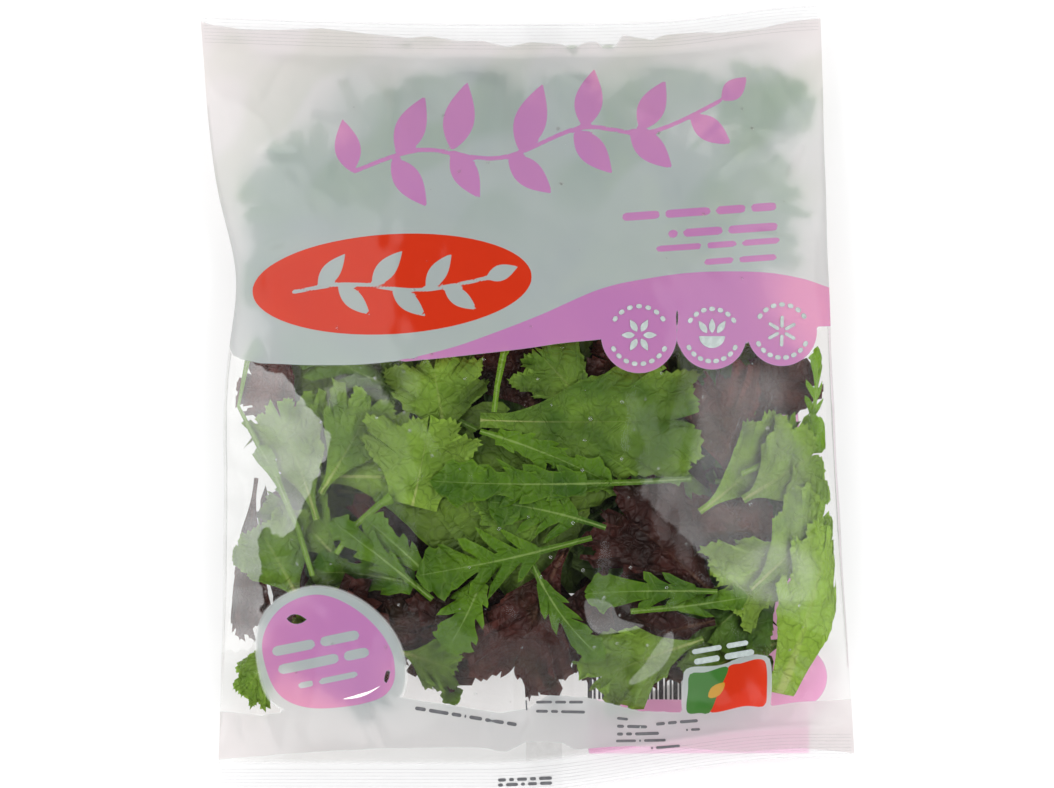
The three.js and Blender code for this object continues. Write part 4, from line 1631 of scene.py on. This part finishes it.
def end_group(tree, shape, material):
    """Ends the tree in plain geometry with its material."""
    real = add(tree, "GeometryNodeRealizeInstances", {"Geometry": shape}).outputs[0]
    painted = add(tree, "GeometryNodeSetMaterial", {"Geometry": real, "Material": material}).outputs[0]
    smooth = add(tree, "GeometryNodeSetShadeSmooth", {0: painted}).outputs[0]
    add(tree, "NodeGroupOutput", {"Geometry": smooth})


def grown(name, points, edges, faces, tree, sockets, sizes):
    """The mesh that the tree makes of a plain one, as an object with no modifier."""
    data = bpy.data.meshes.new(name + "_start")
    data.from_pydata((np.asarray(points) * MM).tolist(), edges, faces)
    start = bpy.data.objects.new(name + "_start", data)
    bpy.context.scene.collection.objects.link(start)
    modifier = start.modifiers.new(name, "NODES")
    modifier.node_group = tree
    for label, value in sizes.items():
        modifier[sockets[label]] = value
    view = bpy.context.evaluated_depsgraph_get()
    mesh = bpy.data.meshes.new_from_object(start.evaluated_get(view), depsgraph=view)
    bpy.data.objects.remove(start)
    mesh.name = name
    thing = bpy.data.objects.new(name, mesh)
    bpy.context.scene.collection.objects.link(thing)
    return thing


def clear_material(name, haze, gloss, gleam_share=1.0):
    """Clear film or water: it lets light through, with a little haze and a gleam."""
    material = new_material(name)
    tree = material.node_tree
    place = add(tree, "ShaderNodeTexCoord").outputs["Object"]
    clouded = step(tree, noise(tree, place, 300.0), 0.3, 0.7, 0.7 * haze, 1.3 * haze)
    clear = add(tree, "ShaderNodeBsdfTransparent", {"Color": (0.97, 0.97, 0.97, 1)})
    white = add(tree, "ShaderNodeBsdfDiffuse", {"Color": HAZE_COLOUR})
    body = add(tree, "ShaderNodeMixShader", {0: clouded, 1: clear.outputs[0], 2: white.outputs[0]})
    gleam = add(tree, "ShaderNodeBsdfGlossy", {"Color": (1, 1, 1, 1), "Roughness": gloss})
    fresnel = add(tree, "ShaderNodeFresnel", {"IOR": FILM_IOR}).outputs[0]
    fresnel = sums(tree, "MULTIPLY", fresnel, gleam_share)
    surface = add(tree, "ShaderNodeMixShader", {0: fresnel, 1: body.outputs[0], 2: gleam.outputs[0]})
    finish_material(tree, surface.outputs[0])
    return material


def rib_paths():
    """Lines across both end seals, on the front film and on the back one."""
    u = np.linspace(0.004, 0.996, RIB_STEPS)
    points, edges = [], []
    for row in (np.arange(RIB_COUNT) + 0.4) / RIB_COUNT * RIBBED_SHARE * SEAL_SHARE:
        for v in (np.full(RIB_STEPS, row), np.full(RIB_STEPS, 1 - row)):
            for drop in (0, SEAL_THICKNESS):
                start = len(points) * RIB_STEPS
                points.append(np.stack([*flat_place(u, v), front_film(u, v) - drop], 1))
                edges += [(start + i, start + i + 1) for i in range(RIB_STEPS - 1)]
    return np.concatenate(points), edges


def fin_strip():
    """The folded fin as one closed strip under the back film, from end to end."""
    across = FIN_MIDDLE_X + np.linspace(-FIN_WIDTH / 2, FIN_WIDTH / 2, FIN_COLUMNS)
    v, x = np.meshgrid(np.linspace(0.001, 0.999, FIN_ROWS), across, indexing="ij")
    u = (x - left_fold(v)) / (right_fold(v) - left_fold(v))
    y = flat_place(u, v)[1]
    top = np.minimum(back_film(u, v), front_film(u, v) - SEAL_THICKNESS) - 0.01
    bottom = np.maximum(top - FIN_THICKNESS, 0)
    count = x.size
    index = np.arange(count).reshape(x.shape)
    quads = np.stack([index[:-1, :-1], index[:-1, 1:], index[1:, 1:], index[1:, :-1]], -1).reshape(-1, 4)
    loop = np.concatenate([index[0, :-1], index[:-1, -1], index[-1, :0:-1], index[:0:-1, 0]])
    after = np.roll(loop, -1)
    rim = np.stack([loop, loop + count, after + count, after], -1)
    points = np.concatenate([np.stack([x, y, z], -1).reshape(-1, 3) for z in (top, bottom)])
    return points, np.concatenate([quads, quads[:, ::-1] + count, rim])


rib_sizes = {"Rib radius": RIB_RADIUS * MM, "Sides": 5}
rib_tree, rib_inputs, rib_sockets = node_group("crimp_ribs", rib_sizes)
rib_lines = add(rib_tree, "GeometryNodeMeshToCurve", {"Mesh": rib_inputs.outputs["Geometry"]}).outputs[0]
rib_round = add(rib_tree, "GeometryNodeCurvePrimitiveCircle", {
    "Radius": rib_inputs.outputs["Rib radius"], "Resolution": rib_inputs.outputs["Sides"],
}).outputs[0]
rib_rods = add(rib_tree, "GeometryNodeCurveToMesh", {
    "Curve": rib_lines, "Profile Curve": rib_round, "Fill Caps": True,
})
crimped_film = clear_material("crimped_film", haze=0.08, gloss=0.3, gleam_share=0.35)
end_group(rib_tree, rib_rods.outputs[0], crimped_film)
rib_points, rib_edges = rib_paths()
crimp_ribs = grown("crimp_ribs", rib_points, rib_edges, [], rib_tree, rib_sockets, rib_sizes)
fin_film = clear_material("fin_film", haze=0.07, gloss=0.3, gleam_share=0.5)
fin_seal = mesh_object("fin_seal", *fin_strip(), fin_film)
for seal_piece in (crimp_ribs, fin_seal):
    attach(seal_piece, "root")

# The water
# The leaves are packed damp, so small flat drops hang inside the front film.
DROP_SEED = 4
DROP_AREA = (0.07, 0.93, 0.1, 0.9)
DROPS_UNDER = 0.12
DAMP_COLUMNS = 48
DAMP_ROWS = 60
drop_sizes = {
    "Drops per square metre": 2600.0, "Least distance": 5.5 * MM,
    "Smallest": 0.25 * MM, "Largest": 0.85 * MM, "Seed": DROP_SEED,
}
drop_tree, drop_inputs, drop_sockets = node_group("water_drops", drop_sizes)
drop_places = add(drop_tree, "GeometryNodeDistributePointsOnFaces", {
    "Mesh": drop_inputs.outputs["Geometry"], "Distance Min": drop_inputs.outputs["Least distance"],
    "Density Max": drop_inputs.outputs["Drops per square metre"], "Seed": drop_inputs.outputs["Seed"],
}, distribute_method="POISSON")
drop = add(drop_tree, "GeometryNodeMeshIcoSphere", {"Radius": 1.0, "Subdivisions": 2}).outputs["Mesh"]
flat_drop = add(drop_tree, "GeometryNodeTransform", {
    "Geometry": drop, "Scale": (1.0, 0.85, 0.3),
}).outputs[0]
drop_scale = add(drop_tree, "FunctionNodeRandomValue", {
    "Min": drop_inputs.outputs["Smallest"], "Max": drop_inputs.outputs["Largest"],
    "Seed": drop_inputs.outputs["Seed"],
}, data_type="FLOAT")
wet = add(drop_tree, "GeometryNodeInstanceOnPoints", {
    "Points": drop_places.outputs["Points"], "Instance": flat_drop,
    "Rotation": drop_places.outputs["Rotation"], "Scale": drop_scale.outputs[1],
}).outputs[0]
end_group(drop_tree, wet, clear_material("water", haze=0.03, gloss=0.04))
damp_steps = (np.linspace(*DROP_AREA[:2], DAMP_COLUMNS), np.linspace(*DROP_AREA[2:], DAMP_ROWS))
damp_u, damp_v = [share.ravel() for share in np.meshgrid(*damp_steps)]
damp_points = np.stack([*flat_place(damp_u, damp_v), front_film(damp_u, damp_v) - DROPS_UNDER], 1)
damp_faces = [
    (i, i + 1, i + DAMP_COLUMNS + 1, i + DAMP_COLUMNS)
    for i in range(DAMP_COLUMNS * (DAMP_ROWS - 1)) if i % DAMP_COLUMNS < DAMP_COLUMNS - 1
]
water_drops = grown("water_drops", damp_points, [], damp_faces, drop_tree, drop_sockets, drop_sizes)
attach(water_drops, "root")
